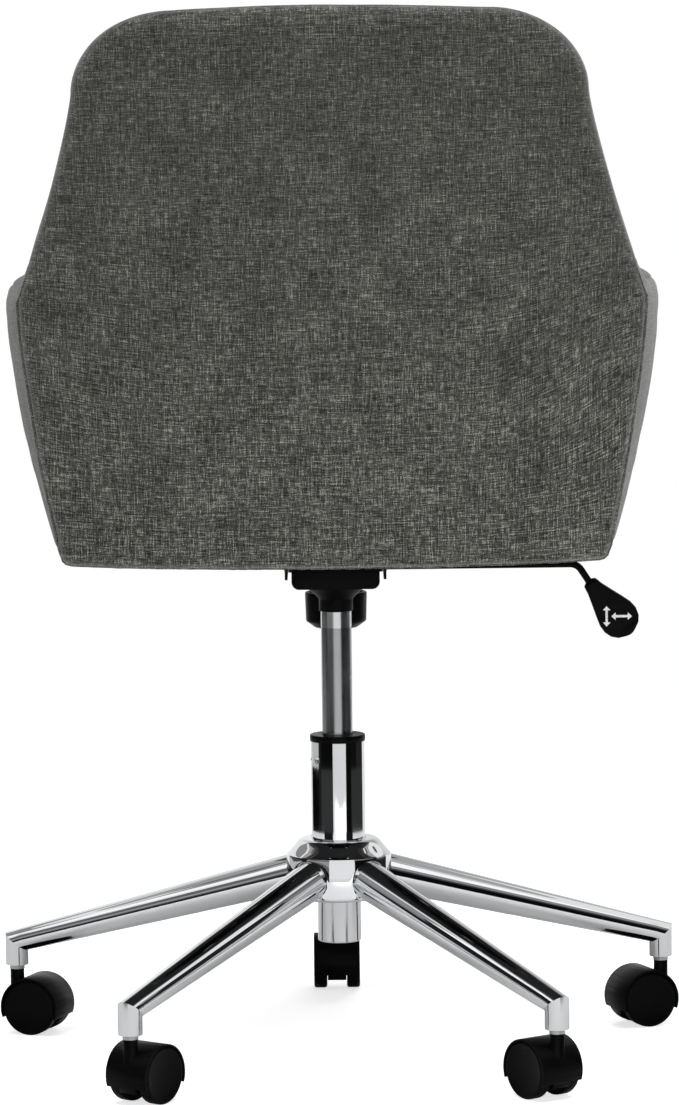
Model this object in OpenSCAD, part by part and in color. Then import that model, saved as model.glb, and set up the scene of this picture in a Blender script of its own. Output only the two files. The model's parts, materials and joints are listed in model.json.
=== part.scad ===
// Swivel office chair: an upholstered tub seat on a tilt mechanism, a gas lift
// and a five-armed base with twin-wheel casters.
// Millimetres. The origin is on the floor under the gas lift, +Z is up and
// +Y points to the front of the chair. It stands at the top of its lift.

/* [Base] */
// Distance from the swivel axis to each caster stem
socket_radius = 317; // [300:1:340]
// Turn of the base against the seat, in degrees
base_turn = 0.6; // [-30:0.1:30]
// Height of the arms' centre line where they enter the hub
arm_root_z = 159; // [155:0.5:163]
// Height of the arms' centre line over the caster stems
arm_tip_z = 85; // [82:0.5:90]
// Diameter of the arm tubes at the hub
arm_root_d = 35.5; // [28:0.5:37]
// Diameter of the arm tubes at the sockets
arm_tip_d = 21.5; // [20:0.5:24]
// Wall thickness of the arm tubes
arm_wall = 2; // [1.5:0.1:3]
// Height of the underside of the caster sockets
socket_z = 63; // [60:0.5:65]
// Outer diameter of the hub shell
hub_d = 96; // [90:1:100]
// Wall thickness of the hub shell
hub_wall = 3; // [2:0.5:4]
// Height of the hub shell's lower edge
hub_bottom_z = 141; // [138:0.5:143]
// Height of the shoulder where the hub shell's wall ends
hub_shoulder_z = 180; // [179:0.5:183]
// Rise of the dome above the shoulder
dome_rise = 15; // [12:0.5:17]
// Outer diameter of the sleeve under the hub
sleeve_d = 40; // [39:0.5:44]
// Height of the sleeve's lower edge
sleeve_bottom_z = 99; // [97:0.5:100]

/* [Casters] */
// Diameter of a wheel
wheel_d = 51; // [48:0.5:52]
// Width of one wheel
wheel_w = 12.7; // [11:0.1:14]
// Width over both wheels of one caster
caster_w = 44.5; // [42:0.5:48]
// Distance from the stem to the wheel axle
caster_trail = 20; // [16:0.5:22]
// Gap between a wheel's tread and the hood's roof
roof_gap = 0.8; // [0.4:0.1:1]
// Thickness of the hood's roof
roof_t = 1.7; // [1:0.1:2.5]
// Angle below the horizontal that the roof reaches to
roof_reach = 20; // [5:1:30]
// Height of the hood's web above the floor
web_clear = 11; // [8:0.5:14]
// Diameter of the hood's neck
neck_d = 13; // [12:0.5:16]
// Diameter of the stem
stem_d = 8; // [7:0.5:10]
// Diameter of the wheel axle
wheel_axle_d = 6; // [5:0.5:8]
// Length of the stem bush in the socket
bush_len = 16; // [14:0.5:18]
// Outer diameter of the stem bush
bush_d = 14; // [12:0.5:15]

/* [Gas lift] */
// Outer diameter of the column tube
column_d = 50; // [48:0.5:52]
// Wall thickness of the column tube
column_wall = 2; // [1.5:0.1:2.5]
// Height of the column tube's upper edge
column_top_z = 284; // [270:0.5:290]
// Height of the column tube's lower edge, inside the sleeve
column_bottom_z = 104; // [103:0.5:105]
// Height of the cap ring on the column
cap_ring_h = 6; // [4:0.5:8]
// Diameter of the sliding gas cylinder
gas_d = 28; // [26:0.5:28.5]
// Bore of the gas cylinder
gas_bore_d = 24; // [20:0.5:24]
// Diameter of the piston rod
rod_d = 10; // [8:0.5:10]
// Travel of the gas lift
lift_stroke = 100; // [80:1:100]
// Height of the gas cylinder's lower end at the top of its travel
gas_bottom_z = 228; // [228:0.5:232]
// Length of the plastic guide bush
guide_len = 62; // [40:1:70]

/* [Mechanism] */
// Height of the lower edge of the taper socket, where the gas cylinder enters it
taper_z = 403.5; // [400:0.5:405]
// Diameter of the taper socket's collar
collar_d = 31; // [30:0.5:34]
// Diameter of the taper socket's flare under the housing
flare_d = 56; // [50:1:62]
// Height of the housing's underside
housing_z = 427; // [424:0.5:428]
// Width of the housing
housing_w = 80; // [76:0.5:81]
// Length of the housing behind the swivel axis
housing_back = 38; // [34:1:44]
// Height of the housing's side walls
housing_h = 31; // [30:0.5:33]
// Wall thickness of the housing
housing_wall = 3; // [2:0.5:4]
// Radius of the housing's lower corners
housing_corner = 7; // [4:0.5:9]
// Distance of the tilt axle in front of the swivel axis
axle_y = 30; // [28:0.5:34]
// Height of the tilt axle
axle_z = 445; // [443:0.5:446]
// Diameter of the tilt axle
tilt_axle_d = 10; // [8:0.5:11]
// Largest recline angle, in degrees
tilt_max = 11; // [8:0.5:11]
// Distance of the tension bolt in front of the swivel axis
bolt_y = 90; // [84:0.5:94]
// Diameter of the tension bolt
bolt_d = 8; // [6:0.5:9]
// Diameter of the tension knob
knob_d = 57.6; // [50:0.2:62]
// Height of the tension knob's underside
knob_z = 378; // [374:0.5:381]
// Height of the tension knob
knob_h = 33; // [28:0.5:34]
// Mean diameter of the tension spring
spring_d = 34; // [28:0.5:40]
// Wire diameter of the tension spring
spring_wire = 4.4; // [3:0.2:4.6]
// Turns of the tension spring
spring_turns = 5; // [4:0.25:5]

/* [Lever] */
// Height of the lever rod's centre line
lever_z = 443.8; // [443.5:0.1:445]
// Diameter of the lever rod
lever_d = 6.4; // [6:0.1:8]
// Distance from the swivel axis to the barrel that the lever rocks in
fulcrum_x = 35; // [34:0.5:36]
// Length of the lever rod outside the swivel axis, up to its bend
lever_reach = 214; // [200:1:225]
// Angle of the bent end below the horizontal
lever_bend = 57; // [40:1:60]
// Length of the bent end up to the paddle
lever_drop = 20.5; // [18:1:30]
// Length of the paddle
paddle_len = 62; // [50:1:70]
// Largest width of the paddle
paddle_w = 36.6; // [30:0.2:42]
// Thickness of the paddle
paddle_t = 10; // [10:0.5:13]
// Pull of the lever that frees the tilt
lever_pull = 12; // [8:0.5:12]

/* [Seat plate] */
// Width of the seat plate
plate_w = 160; // [140:1:180]
// Length of the seat plate behind the swivel axis
plate_back = 95; // [85:1:110]
// Length of the seat plate in front of the swivel axis
plate_front = 125; // [120:1:140]
// Distance of the seat bolts from the plate's edges
bolt_margin = 15; // [12:0.5:20]
// Thickness of the seat plate
plate_t = 3; // [2.5:0.5:4]
// Height of the seat plate's upper face
plate_z = 465; // [464.5:0.5:467]
// Thickness of the flanges that hold the tilt axle
flange_t = 2.5; // [2:0.5:3]
// Distance between the two flanges
flange_gap = 87.2; // [86:0.2:92]
// Height of the flanges' lower edge
flange_z = 435; // [430:0.5:436]
// Thickness of the plywood seat board
board_t = 12; // [9:0.5:15]
// Thickness of the dust cover
dust_t = 1; // [0.6:0.1:1.5]
// Diameter of the seat bolts
seat_bolt_d = 8; // [6:0.5:8]

/* [Upholstery] */
// Height of the back's upper edge
back_top_z = 956; // [900:1:1000]
// Half the width of the back under its rounded corners
back_half_w = 222; // [200:1:235]
// Radius of the back's upper corners
back_corner = 73; // [40:1:80]
// Crown of the back's upper edge
back_crown = 2; // [0:0.5:8]
// Height at which the back is widest, where the arms begin
flare_z = 703; // [690:1:720]
// Half the width of the back at its widest
flare_half_w = 273; // [260:1:285]
// Half the width of the back at its lower corners
foot_half_w = 238.5; // [230:0.5:244]
// Height of the back's lower corners and of the arms' underside
foot_z = 470; // [468:1:474]
// Sag of the back's lower edge between its corners
foot_sag = 2; // [0:0.5:5]
// Distance from the swivel axis to the back's lower edge
back_y = 262; // [255:1:275]
// Lean of the back, per millimetre of height
back_lean = 0.15; // [0.05:0.01:0.2]
// How far the back's sides come forward of its middle
back_wrap = 40; // [20:1:50]
// Thickness of the outer back panel
panel_t = 8; // [5:0.5:12]
// Thickness of the inner back pad
pad_t = 44; // [35:1:50]
// Half the width over the arms near their upper edge
arm_half_w = 295.5; // [285:0.5:305]
// Half the width over the arms at their lower edge
arm_foot_half_w = 254; // [248:0.5:260]
// Height of the arms' upper edge
arm_top_z = 722.5; // [700:0.5:730]
// How far the arms' upper edge falls towards the front
arm_fall = 34; // [0:1:60]
// How far the arms' upper edge sweeps up into the back
arm_sweep = 26; // [0:1:40]
// Thickness of the arms at their upper edge
arm_t = 54; // [44:1:60]
// Distance from the swivel axis to the front of the arms
arm_front_y = 236; // [200:1:250]
// Thickness of the seat cushion
cushion_t = 72; // [60:1:90]
// Crown of the seat cushion
cushion_crown = 9; // [0:1:15]
// Thickness of the deck pad under the cushion
deck_t = 24; // [15:1:30]
// Distance from the swivel axis to the front of the cushion
cushion_front_y = 262; // [240:1:275]

/* [Hidden] */
$fn = 64;
arm_count = 5;
caster_turn = [-90, -20, 53, 127, 202];
run_gap = 0.05;
fit_gap = 0.1;
soft_gap = 0.3;
panel_gap = 0.6;
tiny = 0.01;
big = 400;

fabric_colour = [0.33, 0.33, 0.32];
light_fabric_colour = [0.42, 0.42, 0.41];
chrome_colour = [0.82, 0.83, 0.85];
steel_colour = [0.55, 0.57, 0.6];
black_colour = [0.08, 0.08, 0.085];
nylon_colour = [0.15, 0.15, 0.16];
wood_colour = [0.72, 0.58, 0.4];

// Base
hub_r = hub_d / 2;
arm_run = socket_radius - hub_r;
arm_slope = atan((arm_root_z - arm_tip_z) / arm_run);
arm_taper = (arm_root_d - arm_tip_d) / 2 / (arm_run / cos(arm_slope));
mitre = (arm_slope + 90) / 2;
sleeve_r = sleeve_d / 2;
hub_core_r = 24;
column_r = column_d / 2;

// Gas lift
swage_z = hub_shoulder_z + 7;
taper_bottom_r = sleeve_r - 3.5;
taper_top_r = taper_bottom_r + 4;
column_floor_t = 4;
race_z = column_bottom_z + column_floor_t;
race_t = 2;
ball_d = 4;
shoulder_z = race_z + 2 * race_t + ball_d;
bumper_top_z = gas_bottom_z - lift_stroke - 0.5;
piston_z = gas_bottom_z + 16;
piston_h = 12;
thin_rod_d = rod_d - 2;
gas_top_z = lever_z - lever_d / 2 - 4.5;
gas_top_r = gas_d / 2 - 0.8;
button_d = 8;

// Mechanism
housing_top_z = housing_z + housing_h;
housing_front = bolt_y + 24;
spring_low_z = knob_z + 8;
head_r = 5;
head_z = plate_z + head_r + soft_gap;
boss_reach = flange_gap / 2 - soft_gap;
flange_out = flange_gap / 2 + flange_t;
blade_t = 4;
blade_z = lever_z;
barrel_r = 7;
barrel_len = 14;

// Seat
dust_z = plate_z;
board_z = dust_z + dust_t;
deck_z = board_z + board_t + soft_gap;
cushion_z = deck_z + deck_t + soft_gap;
bolt_holes = [for (x = [-1, 1], y = [bolt_margin - plate_back, plate_front - bolt_margin])
    [x * (plate_w / 2 - bolt_margin), y]];
pocket = [32, 30];
pocket_y = bolt_y + 2.5;
seat_rear_gap = 0.6;
seat_side_gap = 0.8;

casters = [for (k = [1:arm_count]) k];
function named(stem) = [for (k = casters) str(stem, k)];

// ---------------------------------------------------------------- helpers

function clamp(t) = min(1, max(0, t));
function smooth(t) = let (u = clamp(t)) u * u * (3 - 2 * u);
function mix(a, b, t) = a + (b - a) * t;
function arc(centre, r, from, to, steps) =
    [for (i = [0:steps]) let (a = mix(from, to, i / steps)) centre + r * [cos(a), sin(a)]];

// Skins a stack of rings that all have the same number of points.
// With poles, one point closes each end; without, each end ring is laddered shut.
module loft(rings, poles = []) {
    n = len(rings[0]);
    m = len(rings);
    points = concat([for (r = rings) each r], poles);
    sides = [for (j = [0:m - 2], i = [0:n - 1])
        let (a = j * n + i, b = j * n + (i + 1) % n) each [[a, a + n, b + n], [a, b + n, b]]];
    fans = len(poles) == 0 ? [] : [for (i = [0:n - 1])
        let (k = (i + 1) % n) each [[m * n, i, k], [m * n + 1, (m - 1) * n + k, (m - 1) * n + i]]];
    ladders = len(poles) > 0 ? [] : [for (i = [0:n / 2 - 2])
        let (a = i, b = i + 1, c = n - 2 - i, d = n - 1 - i, e = (m - 1) * n)
        each [[a, b, c], [a, c, d], [e + a, e + c, e + b], [e + a, e + d, e + c]]];
    polyhedron(points, concat(sides, fans, ladders), convexity = 6);
}

// A padded form: an outline filled towards its middle, with rounded edges.
// Each ring is [share of the way out, inset from the edge, level]; lay turns an
// outline point and a level into a place.
module pillow(outline, middle, rings, lay) {
    laid = [for (ring = rings) [for (p = outline)
        let (out = p - middle, s = ring[0] * (1 - ring[1](p) / norm(out)))
        lay(middle + out * s, ring[2])]];
    loft(laid, [lay(middle, rings[0][2]), lay(middle, rings[len(rings) - 1][2])]);
}

// ---------------------------------------------------------------- base

module at_arms() {
    for (k = casters) rotate(90 + base_turn + 360 / arm_count * (k - 1)) children();
}

// Cone of the arm, grown by a clearance or shrunk by a wall
module arm_cone(grow) {
    beyond = arm_tip_d;
    reach = arm_run / cos(arm_slope) + hub_r;
    translate([socket_radius, 0, arm_tip_z])
        rotate([0, arm_slope - 90, 0])
            translate([0, 0, -beyond])
                cylinder(
                    h = beyond + reach,
                    r1 = arm_tip_d / 2 + grow - arm_taper * beyond,
                    r2 = arm_tip_d / 2 + grow + arm_taper * reach);
}

// Space beyond the mitre plane, on the socket's side or on the arm's side
module mitre_space(side) {
    translate([socket_radius, 0, arm_tip_z])
        rotate([0, mitre, 0])
            translate([side > 0 ? 0 : -big, -big / 2, -big / 2])
                cube(big);
}

module arm_wedge() {
    half = 180 / arm_count;
    edge = fit_gap / sin(half);
    translate([edge, 0, 0])
        linear_extrude(height = 2 * arm_root_z)
            polygon([[0, 0], [big, -big * tan(half)], [big, big * tan(half)]]);
}

module base_arms() {
    color(chrome_colour)
        at_arms()
            intersection() {
                arm_wedge();
                difference() {
                    arm_cone(0);
                    arm_cone(-arm_wall);
                    mitre_space(1);
                    cylinder(h = 2 * arm_root_z, r = hub_core_r + fit_gap);
                }
            }
}

module caster_sockets() {
    color(chrome_colour)
        at_arms()
            difference() {
                translate([socket_radius, 0, socket_z])
                    cylinder(h = 2 * (arm_tip_z - socket_z), d = arm_tip_d);
                mitre_space(-1);
                translate([socket_radius, 0, socket_z - tiny])
                    cylinder(h = bush_len + tiny, d = bush_d);
            }
}

module stem_bushes() {
    color(nylon_colour)
        at_arms()
            translate([socket_radius, 0, socket_z])
                difference() {
                    cylinder(h = bush_len, d = bush_d - 2 * run_gap);
                    translate([0, 0, -tiny])
                        cylinder(h = bush_len + 2 * tiny, d = stem_d + 2 * run_gap);
                }
}

// Profile of the dome from the column out to the shoulder, shrunk by a wall
function dome(inset) = let (
        top = hub_shoulder_z + dome_rise,
        face = [
            [column_r + 2, top], [hub_r - 14, top - 0.8], [hub_r - 11, top - 2.4],
            [hub_r - 1.8, hub_shoulder_z + 1.4], [hub_r - 0.5, hub_shoulder_z + 0.4],
            [hub_r, hub_shoulder_z - 1]])
    [for (p = face) [max(p[0] - inset, column_r + 1), p[1] - inset]];

module hub_shell() {
    rim = column_r + fit_gap;
    outer = dome(0);
    inner = dome(hub_wall);
    color(chrome_colour)
        difference() {
            rotate_extrude()
                polygon(concat(
                    [[rim, outer[0][1]]], outer,
                    arc([hub_r - hub_wall, hub_bottom_z + hub_wall], hub_wall, 0, -90, 4),
                    [for (i = [len(inner) - 1:-1:0]) inner[i]],
                    [[rim, inner[0][1]]]));
            at_arms() arm_cone(fit_gap);
        }
}

module hub_sleeve() {
    edge = 1.5;
    color(chrome_colour)
        difference() {
            rotate_extrude()
                polygon(concat(
                    [[0, sleeve_bottom_z]],
                    arc([sleeve_r - edge, sleeve_bottom_z + edge], edge, -90, 0, 4),
                    [[sleeve_r, hub_bottom_z], [hub_core_r, hub_bottom_z + 9],
                     [hub_core_r, swage_z], [0, swage_z]]));
            translate([0, 0, column_bottom_z])
                cylinder(
                    h = swage_z - column_bottom_z + tiny,
                    r1 = taper_bottom_r + run_gap,
                    r2 = taper_top_r + run_gap);
            translate([0, 0, sleeve_bottom_z - tiny])
                cylinder(h = column_bottom_z - sleeve_bottom_z + 2 * tiny, r = taper_bottom_r);
        }
}

// ---------------------------------------------------------------- gas lift

// Two pairs of crimps near the column's upper edge hold the guide bush
module column_tube() {
    inside = column_r - column_wall;
    crimp_r = 4;
    crimp_depth = 1.1;
    color(chrome_colour)
        difference() {
            rotate_extrude()
                polygon([
                    [0, column_bottom_z], [taper_bottom_r, column_bottom_z],
                    [taper_top_r, swage_z], [column_r, swage_z + 7],
                    [column_r, column_top_z], [inside, column_top_z],
                    [inside, swage_z + 8], [taper_top_r - column_wall, swage_z],
                    [taper_bottom_r - column_wall, race_z], [0, race_z]]);
            translate([0, 0, column_bottom_z - tiny])
                cylinder(h = column_floor_t + 2 * tiny, d = thin_rod_d + 2 * fit_gap);
            for (turn = [10, 40, 190, 220])
                rotate(turn)
                    translate([-column_r - crimp_r + crimp_depth, 0, column_top_z - 16])
                        sphere(r = crimp_r, $fn = 20);
        }
}

module cap_ring() {
    edge = 1.2;
    r = column_r + 0.4;
    color(black_colour)
        translate([0, 0, column_top_z])
            difference() {
                rotate_extrude()
                    polygon(concat(
                        [[0, 0], [r, 0]],
                        arc([r - edge, cap_ring_h - edge], edge, 0, 90, 4),
                        [[0, cap_ring_h]]));
                translate([0, 0, -tiny])
                    cylinder(h = cap_ring_h + 2 * tiny, d = gas_d + 2 * fit_gap);
            }
}

module guide_bush() {
    color(nylon_colour)
        translate([0, 0, column_top_z - guide_len])
            difference() {
                cylinder(h = guide_len, r = column_r - column_wall - run_gap);
                translate([0, 0, -tiny])
                    cylinder(h = guide_len + 2 * tiny, d = gas_d + 2 * run_gap);
            }
}

module race(z) {
    translate([0, 0, z])
        difference() {
            cylinder(h = race_t, r = taper_bottom_r - column_wall - 1.5);
            translate([0, 0, -tiny])
                cylinder(h = race_t + 2 * tiny, d = thin_rod_d + 2 * run_gap);
        }
}

// Lower race with its ring of balls
module thrust_bearing() {
    balls = 10;
    color(steel_colour) {
        race(race_z);
        for (i = [1:balls])
            rotate(360 / balls * i)
                translate([taper_bottom_r - column_wall - 4.5, 0, race_z + race_t + ball_d / 2])
                    sphere(d = ball_d - fit_gap);
    }
}

module upper_race() {
    color(steel_colour) race(shoulder_z - race_t);
}

module piston_rod() {
    tail_z = sleeve_bottom_z + 1;
    color(steel_colour) {
        translate([0, 0, tail_z])
            cylinder(h = shoulder_z - tail_z + tiny, d = thin_rod_d);
        translate([0, 0, shoulder_z])
            cylinder(h = piston_z + piston_h + 2 - shoulder_z, d = rod_d);
    }
}

module piston() {
    color(nylon_colour)
        translate([0, 0, piston_z])
            difference() {
                cylinder(h = piston_h, d = gas_bore_d - 2 * run_gap);
                translate([0, 0, -tiny])
                    cylinder(h = piston_h + 2 * tiny, d = rod_d);
            }
}

// Spring clip that holds the rod under the column's floor
module rod_clip() {
    clip_t = 1.6;
    color(steel_colour)
        translate([0, 0, column_bottom_z - clip_t - soft_gap])
            difference() {
                cylinder(h = clip_t, d = thin_rod_d + 10);
                translate([0, 0, -tiny])
                    cylinder(h = clip_t + 2 * tiny, d = thin_rod_d);
                translate([0, -thin_rod_d / 2 + 1, -tiny])
                    cube([thin_rod_d + 10, thin_rod_d - 2, clip_t + 2 * tiny]);
            }
}

module rubber_bumper() {
    color(black_colour)
        translate([0, 0, shoulder_z])
            difference() {
                cylinder(h = bumper_top_z - shoulder_z, d = gas_d - 4);
                translate([0, 0, -tiny])
                    cylinder(h = bumper_top_z - shoulder_z + 2 * tiny, d = rod_d);
            }
}

module gas_cylinder() {
    cap_h = 8;
    roof_z = taper_z - 6;
    color(steel_colour)
        difference() {
            union() {
                translate([0, 0, gas_bottom_z])
                    cylinder(h = taper_z - gas_bottom_z, d = gas_d);
                translate([0, 0, taper_z])
                    cylinder(h = gas_top_z - taper_z, r1 = gas_d / 2, r2 = gas_top_r);
            }
            translate([0, 0, gas_bottom_z - tiny])
                cylinder(h = cap_h + 2 * tiny, d = rod_d + 2 * run_gap);
            translate([0, 0, gas_bottom_z + cap_h])
                cylinder(h = roof_z - gas_bottom_z - cap_h, d = gas_bore_d);
            translate([0, 0, gas_top_z - 12])
                cylinder(h = 12 + tiny, d = button_d + 2 * run_gap);
            // ring line under the tapered end
            translate([0, 0, taper_z - 15])
                rotate_extrude()
                    translate([gas_d / 2 - 0.3, 0])
                        square([1, 0.8]);
        }
}

module valve_button() {
    top_z = blade_z - blade_t / 2 - soft_gap;
    color(steel_colour)
        translate([0, 0, gas_top_z - 8])
            cylinder(h = top_z - gas_top_z + 8, d = button_d);
}

// ---------------------------------------------------------------- mechanism

// Tulip-shaped socket that the gas cylinder's taper wedges into
module taper_socket() {
    collar_h = 11;
    steps = 6;
    collar_r = collar_d / 2;
    neck_r = 18;
    inner_z = housing_z + housing_wall;
    color(black_colour)
        difference() {
            rotate_extrude()
                polygon(concat(
                    [[0, taper_z], [collar_r, taper_z]],
                    [for (i = [0:steps]) let (t = i / steps) [
                        mix(collar_r, flare_d / 2, pow(t, 1.15)),
                        mix(taper_z + collar_h, housing_z - 1, t)]],
                    [[flare_d / 2, housing_z], [neck_r, housing_z],
                     [neck_r, inner_z + 6], [0, inner_z + 6]]));
            translate([0, 0, taper_z - tiny])
                cylinder(
                    h = gas_top_z - taper_z + tiny,
                    r1 = gas_d / 2 + run_gap,
                    r2 = gas_top_r + run_gap);
        }
}

// Cross-section of the housing, open at the top, shrunk by a wall
module tray_section(wall) {
    half = housing_w / 2 - wall;
    low = housing_z + wall;
    round = housing_corner - wall / 2;
    polygon(concat(
        arc([half - round, low + round], round, 0, -90, 6),
        arc([-half + round, low + round], round, -90, -180, 6),
        [[-half, housing_top_z + wall], [half, housing_top_z + wall]]));
}

module along_y(from, to) {
    translate([0, to, 0]) rotate([90, 0, 0]) linear_extrude(height = to - from) children();
}

module along_x(from, to) {
    translate([from, 0, 0]) rotate([90, 0, 90]) linear_extrude(height = to - from) children();
}

module tilt_housing() {
    neck_r = 18 + fit_gap;
    pad = 12;
    rest = plate_z - plate_t - axle_z;
    color(black_colour)
        difference() {
            union() {
                difference() {
                    along_y(-housing_back, housing_front) tray_section(0);
                    along_y(-housing_back + housing_wall, housing_front - housing_wall)
                        tray_section(housing_wall);
                }
                for (side = [-1, 1])
                    translate([side * boss_reach, axle_y, axle_z])
                        rotate([0, -side * 90, 0])
                            cylinder(h = boss_reach - housing_w / 2 + pad / 2, d = tilt_axle_d + 9);
                translate([fulcrum_x - barrel_r, -pad, lever_z - pad])
                    cube([housing_w / 2 - fulcrum_x + barrel_r, 2 * pad, 2 * pad]);
            }
            // room for the seat plate over the rear of the housing at full recline
            translate([0, axle_y, axle_z])
                rotate([tilt_max, 0, 0])
                    translate([-big / 2, -big, rest - 1])
                        cube([big, big, big]);
            translate([-big / 2, -big / 2, housing_top_z])
                cube([big, big, big]);
            translate([0, 0, housing_z - tiny])
                cylinder(h = housing_wall + 2 * tiny, r = neck_r);
            translate([0, bolt_y, housing_z - tiny])
                cylinder(h = housing_wall + 2 * tiny, d = bolt_d + 1.5);
            translate([-big / 2, axle_y, axle_z])
                rotate([0, 90, 0])
                    cylinder(h = big, d = tilt_axle_d + 2 * run_gap);
            translate([fulcrum_x, 0, lever_z])
                rotate([90, 0, 0])
                    cylinder(h = barrel_len + 2 * fit_gap, r = barrel_r + run_gap, center = true);
            translate([0, 0, lever_z])
                rotate([0, 90, 0])
                    cylinder(h = housing_w, d = lever_d + 2);
        }
}

// Nylon barrel that lets the lever rock in the housing's side
module lever_barrel() {
    color(nylon_colour)
        translate([fulcrum_x, 0, lever_z])
            difference() {
                rotate([90, 0, 0])
                    cylinder(h = barrel_len, r = barrel_r, center = true);
                rotate([0, 90, 0])
                    cylinder(h = 4 * barrel_r, d = lever_d + 2 * run_gap, center = true);
            }
}

bend_r = 12;
bend_end = [lever_reach + bend_r * sin(lever_bend), lever_z - bend_r * (1 - cos(lever_bend))];
paddle_root = bend_end + (lever_drop - 8) * [cos(lever_bend), -sin(lever_bend)];

module lever_rod() {
    blade_w = 13;
    blade_from = -button_d / 2 - lever_pull - 4;
    blade_to = fulcrum_x - barrel_r - lever_pull - 4;
    color(black_colour) {
        translate([blade_from, -blade_w / 2, blade_z - blade_t / 2])
            cube([blade_to - blade_from, blade_w, blade_t]);
        translate([blade_to - 4, 0, lever_z])
            rotate([0, 90, 0])
                cylinder(h = lever_reach - blade_to + 4, d = lever_d);
        loft(bent_end(lever_d / 2 - tiny, 12));
    }
}

// Rings along the bend and the dropped end of the lever rod
function bent_end(r, sides) = let (
        steps = 8,
        path = concat(
            [[lever_reach - 4, lever_z, 0]],
            [for (i = [0:steps]) let (a = lever_bend * i / steps)
                [lever_reach + bend_r * sin(a), lever_z - bend_r * (1 - cos(a)), a]],
            [concat(bend_end + lever_drop * [cos(lever_bend), -sin(lever_bend)], lever_bend)]))
    [for (p = path) [for (i = [0:sides - 1]) let (a = 360 / sides * i)
        [p[0], 0, p[1]] + r * (cos(a) * [sin(p[2]), 0, cos(p[2])] + [0, -sin(a), 0])]];

// Shares of the paddle's length, half width and half thickness, from the neck to the end
paddle_form = [
    [0, 0.22, 0.86], [0.025, 0.35, 0.96], [0.06, 0.385, 1], [0.14, 0.44, 1], [0.31, 0.63, 1],
    [0.48, 0.83, 1], [0.62, 0.98, 1], [0.74, 1, 1], [0.85, 0.88, 0.98], [0.93, 0.65, 0.92],
    [0.98, 0.32, 0.72], [1, 0.13, 0.5]];

function rounded_ring(w, t, edge) = concat(
    arc([w - edge, t - edge], edge, 0, 90, 3), arc([edge - w, t - edge], edge, 90, 180, 3),
    arc([edge - w, edge - t], edge, 180, 270, 3), arc([w - edge, edge - t], edge, 270, 360, 3));

// Paddle: a tear-shaped grip with rounded edges and a short neck for the rod
module lever_paddle() {
    edge = 3;
    axis = lever_bend - 5.5;
    color(black_colour)
        difference() {
            translate([paddle_root[0], 0, paddle_root[1]])
                rotate([0, axis, 0])
                    loft([for (f = paddle_form) let (w = f[1] * paddle_w / 2, t = f[2] * paddle_t / 2)
                        [for (p = rounded_ring(w, t, min(edge, 0.8 * w, 0.8 * t)))
                            [f[0] * paddle_len, -p[1], p[0]]]]);
            translate([bend_end[0], 0, bend_end[1]])
                rotate([0, 90 + lever_bend, 0])
                    cylinder(h = lever_drop + fit_gap, d = lever_d + 2 * tiny);
        }
}

// Bolt whose cross head sits in the seat plate, so that it can rock there
module tension_bolt() {
    head_w = 26;
    color(steel_colour)
        translate([0, bolt_y, 0]) {
            translate([0, 0, knob_z + 3])
                cylinder(h = head_z - knob_z - 3, d = bolt_d);
            translate([-head_w / 2, 0, head_z])
                rotate([0, 90, 0])
                    cylinder(h = head_w, r = head_r);
        }
}

module tension_knob() {
    r = knob_d / 2;
    wall = 3.5;
    nut_r = 9;
    floor_t = 8;
    bevel = 6;
    color(black_colour)
        translate([0, bolt_y, knob_z])
            difference() {
                rotate_extrude()
                    polygon([
                        [0, 0], [r - bevel - 3, 0], [r - 0.8, bevel], [r, knob_h - 1],
                        [r - 1, knob_h], [r - wall, knob_h], [r - wall, floor_t],
                        [nut_r + 3, floor_t], [nut_r, floor_t + 5], [0, floor_t + 5]]);
                translate([0, 0, -tiny])
                    cylinder(h = big, d = bolt_d + 2 * run_gap);
            }
}

// Wire of the tension spring, with a closed turn at each end
module tension_spring() {
    sides = 8;
    steps = round(spring_turns * 20);
    wire_r = spring_wire / 2;
    low = spring_low_z + wire_r + soft_gap;
    high = housing_z - wire_r - soft_gap;
    r = spring_d / 2;
    rings = [for (j = [0:steps])
        let (t = j / steps, turn = 360 * spring_turns * t,
             centre = [r * cos(turn), r * sin(turn),
                       mix(low, high, smooth((t * spring_turns - 0.4) / (spring_turns - 0.8)))])
        [for (i = [0:sides - 1]) let (a = 360 / sides * i)
            centre + wire_r * (cos(a) * [cos(turn), sin(turn), 0] + [0, 0, sin(a)])]];
    color(steel_colour)
        translate([0, bolt_y, 0])
            loft([for (ring = rings) [for (i = [sides - 1:-1:0]) ring[i]]]);
}

// ---------------------------------------------------------------- seat plate

// Side view of a flange: deepest round the tilt axle, cut back at both ends
module flange_outline() {
    top = plate_z - plate_t;
    round = 8;
    shallow = 9;
    rear = round - 0.75 * plate_back;
    deep_from = -housing_back + round;
    deep_to = axle_y + 2.2 * tilt_axle_d;
    polygon(concat(
        [[rear, top], [rear, top - shallow]],
        arc([deep_from, flange_z + round], round, 200, 270, 5),
        arc([deep_to, flange_z + round], round, 270, 330, 5),
        [[plate_front - round, top - shallow], [plate_front - round, top]]));
}

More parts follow.
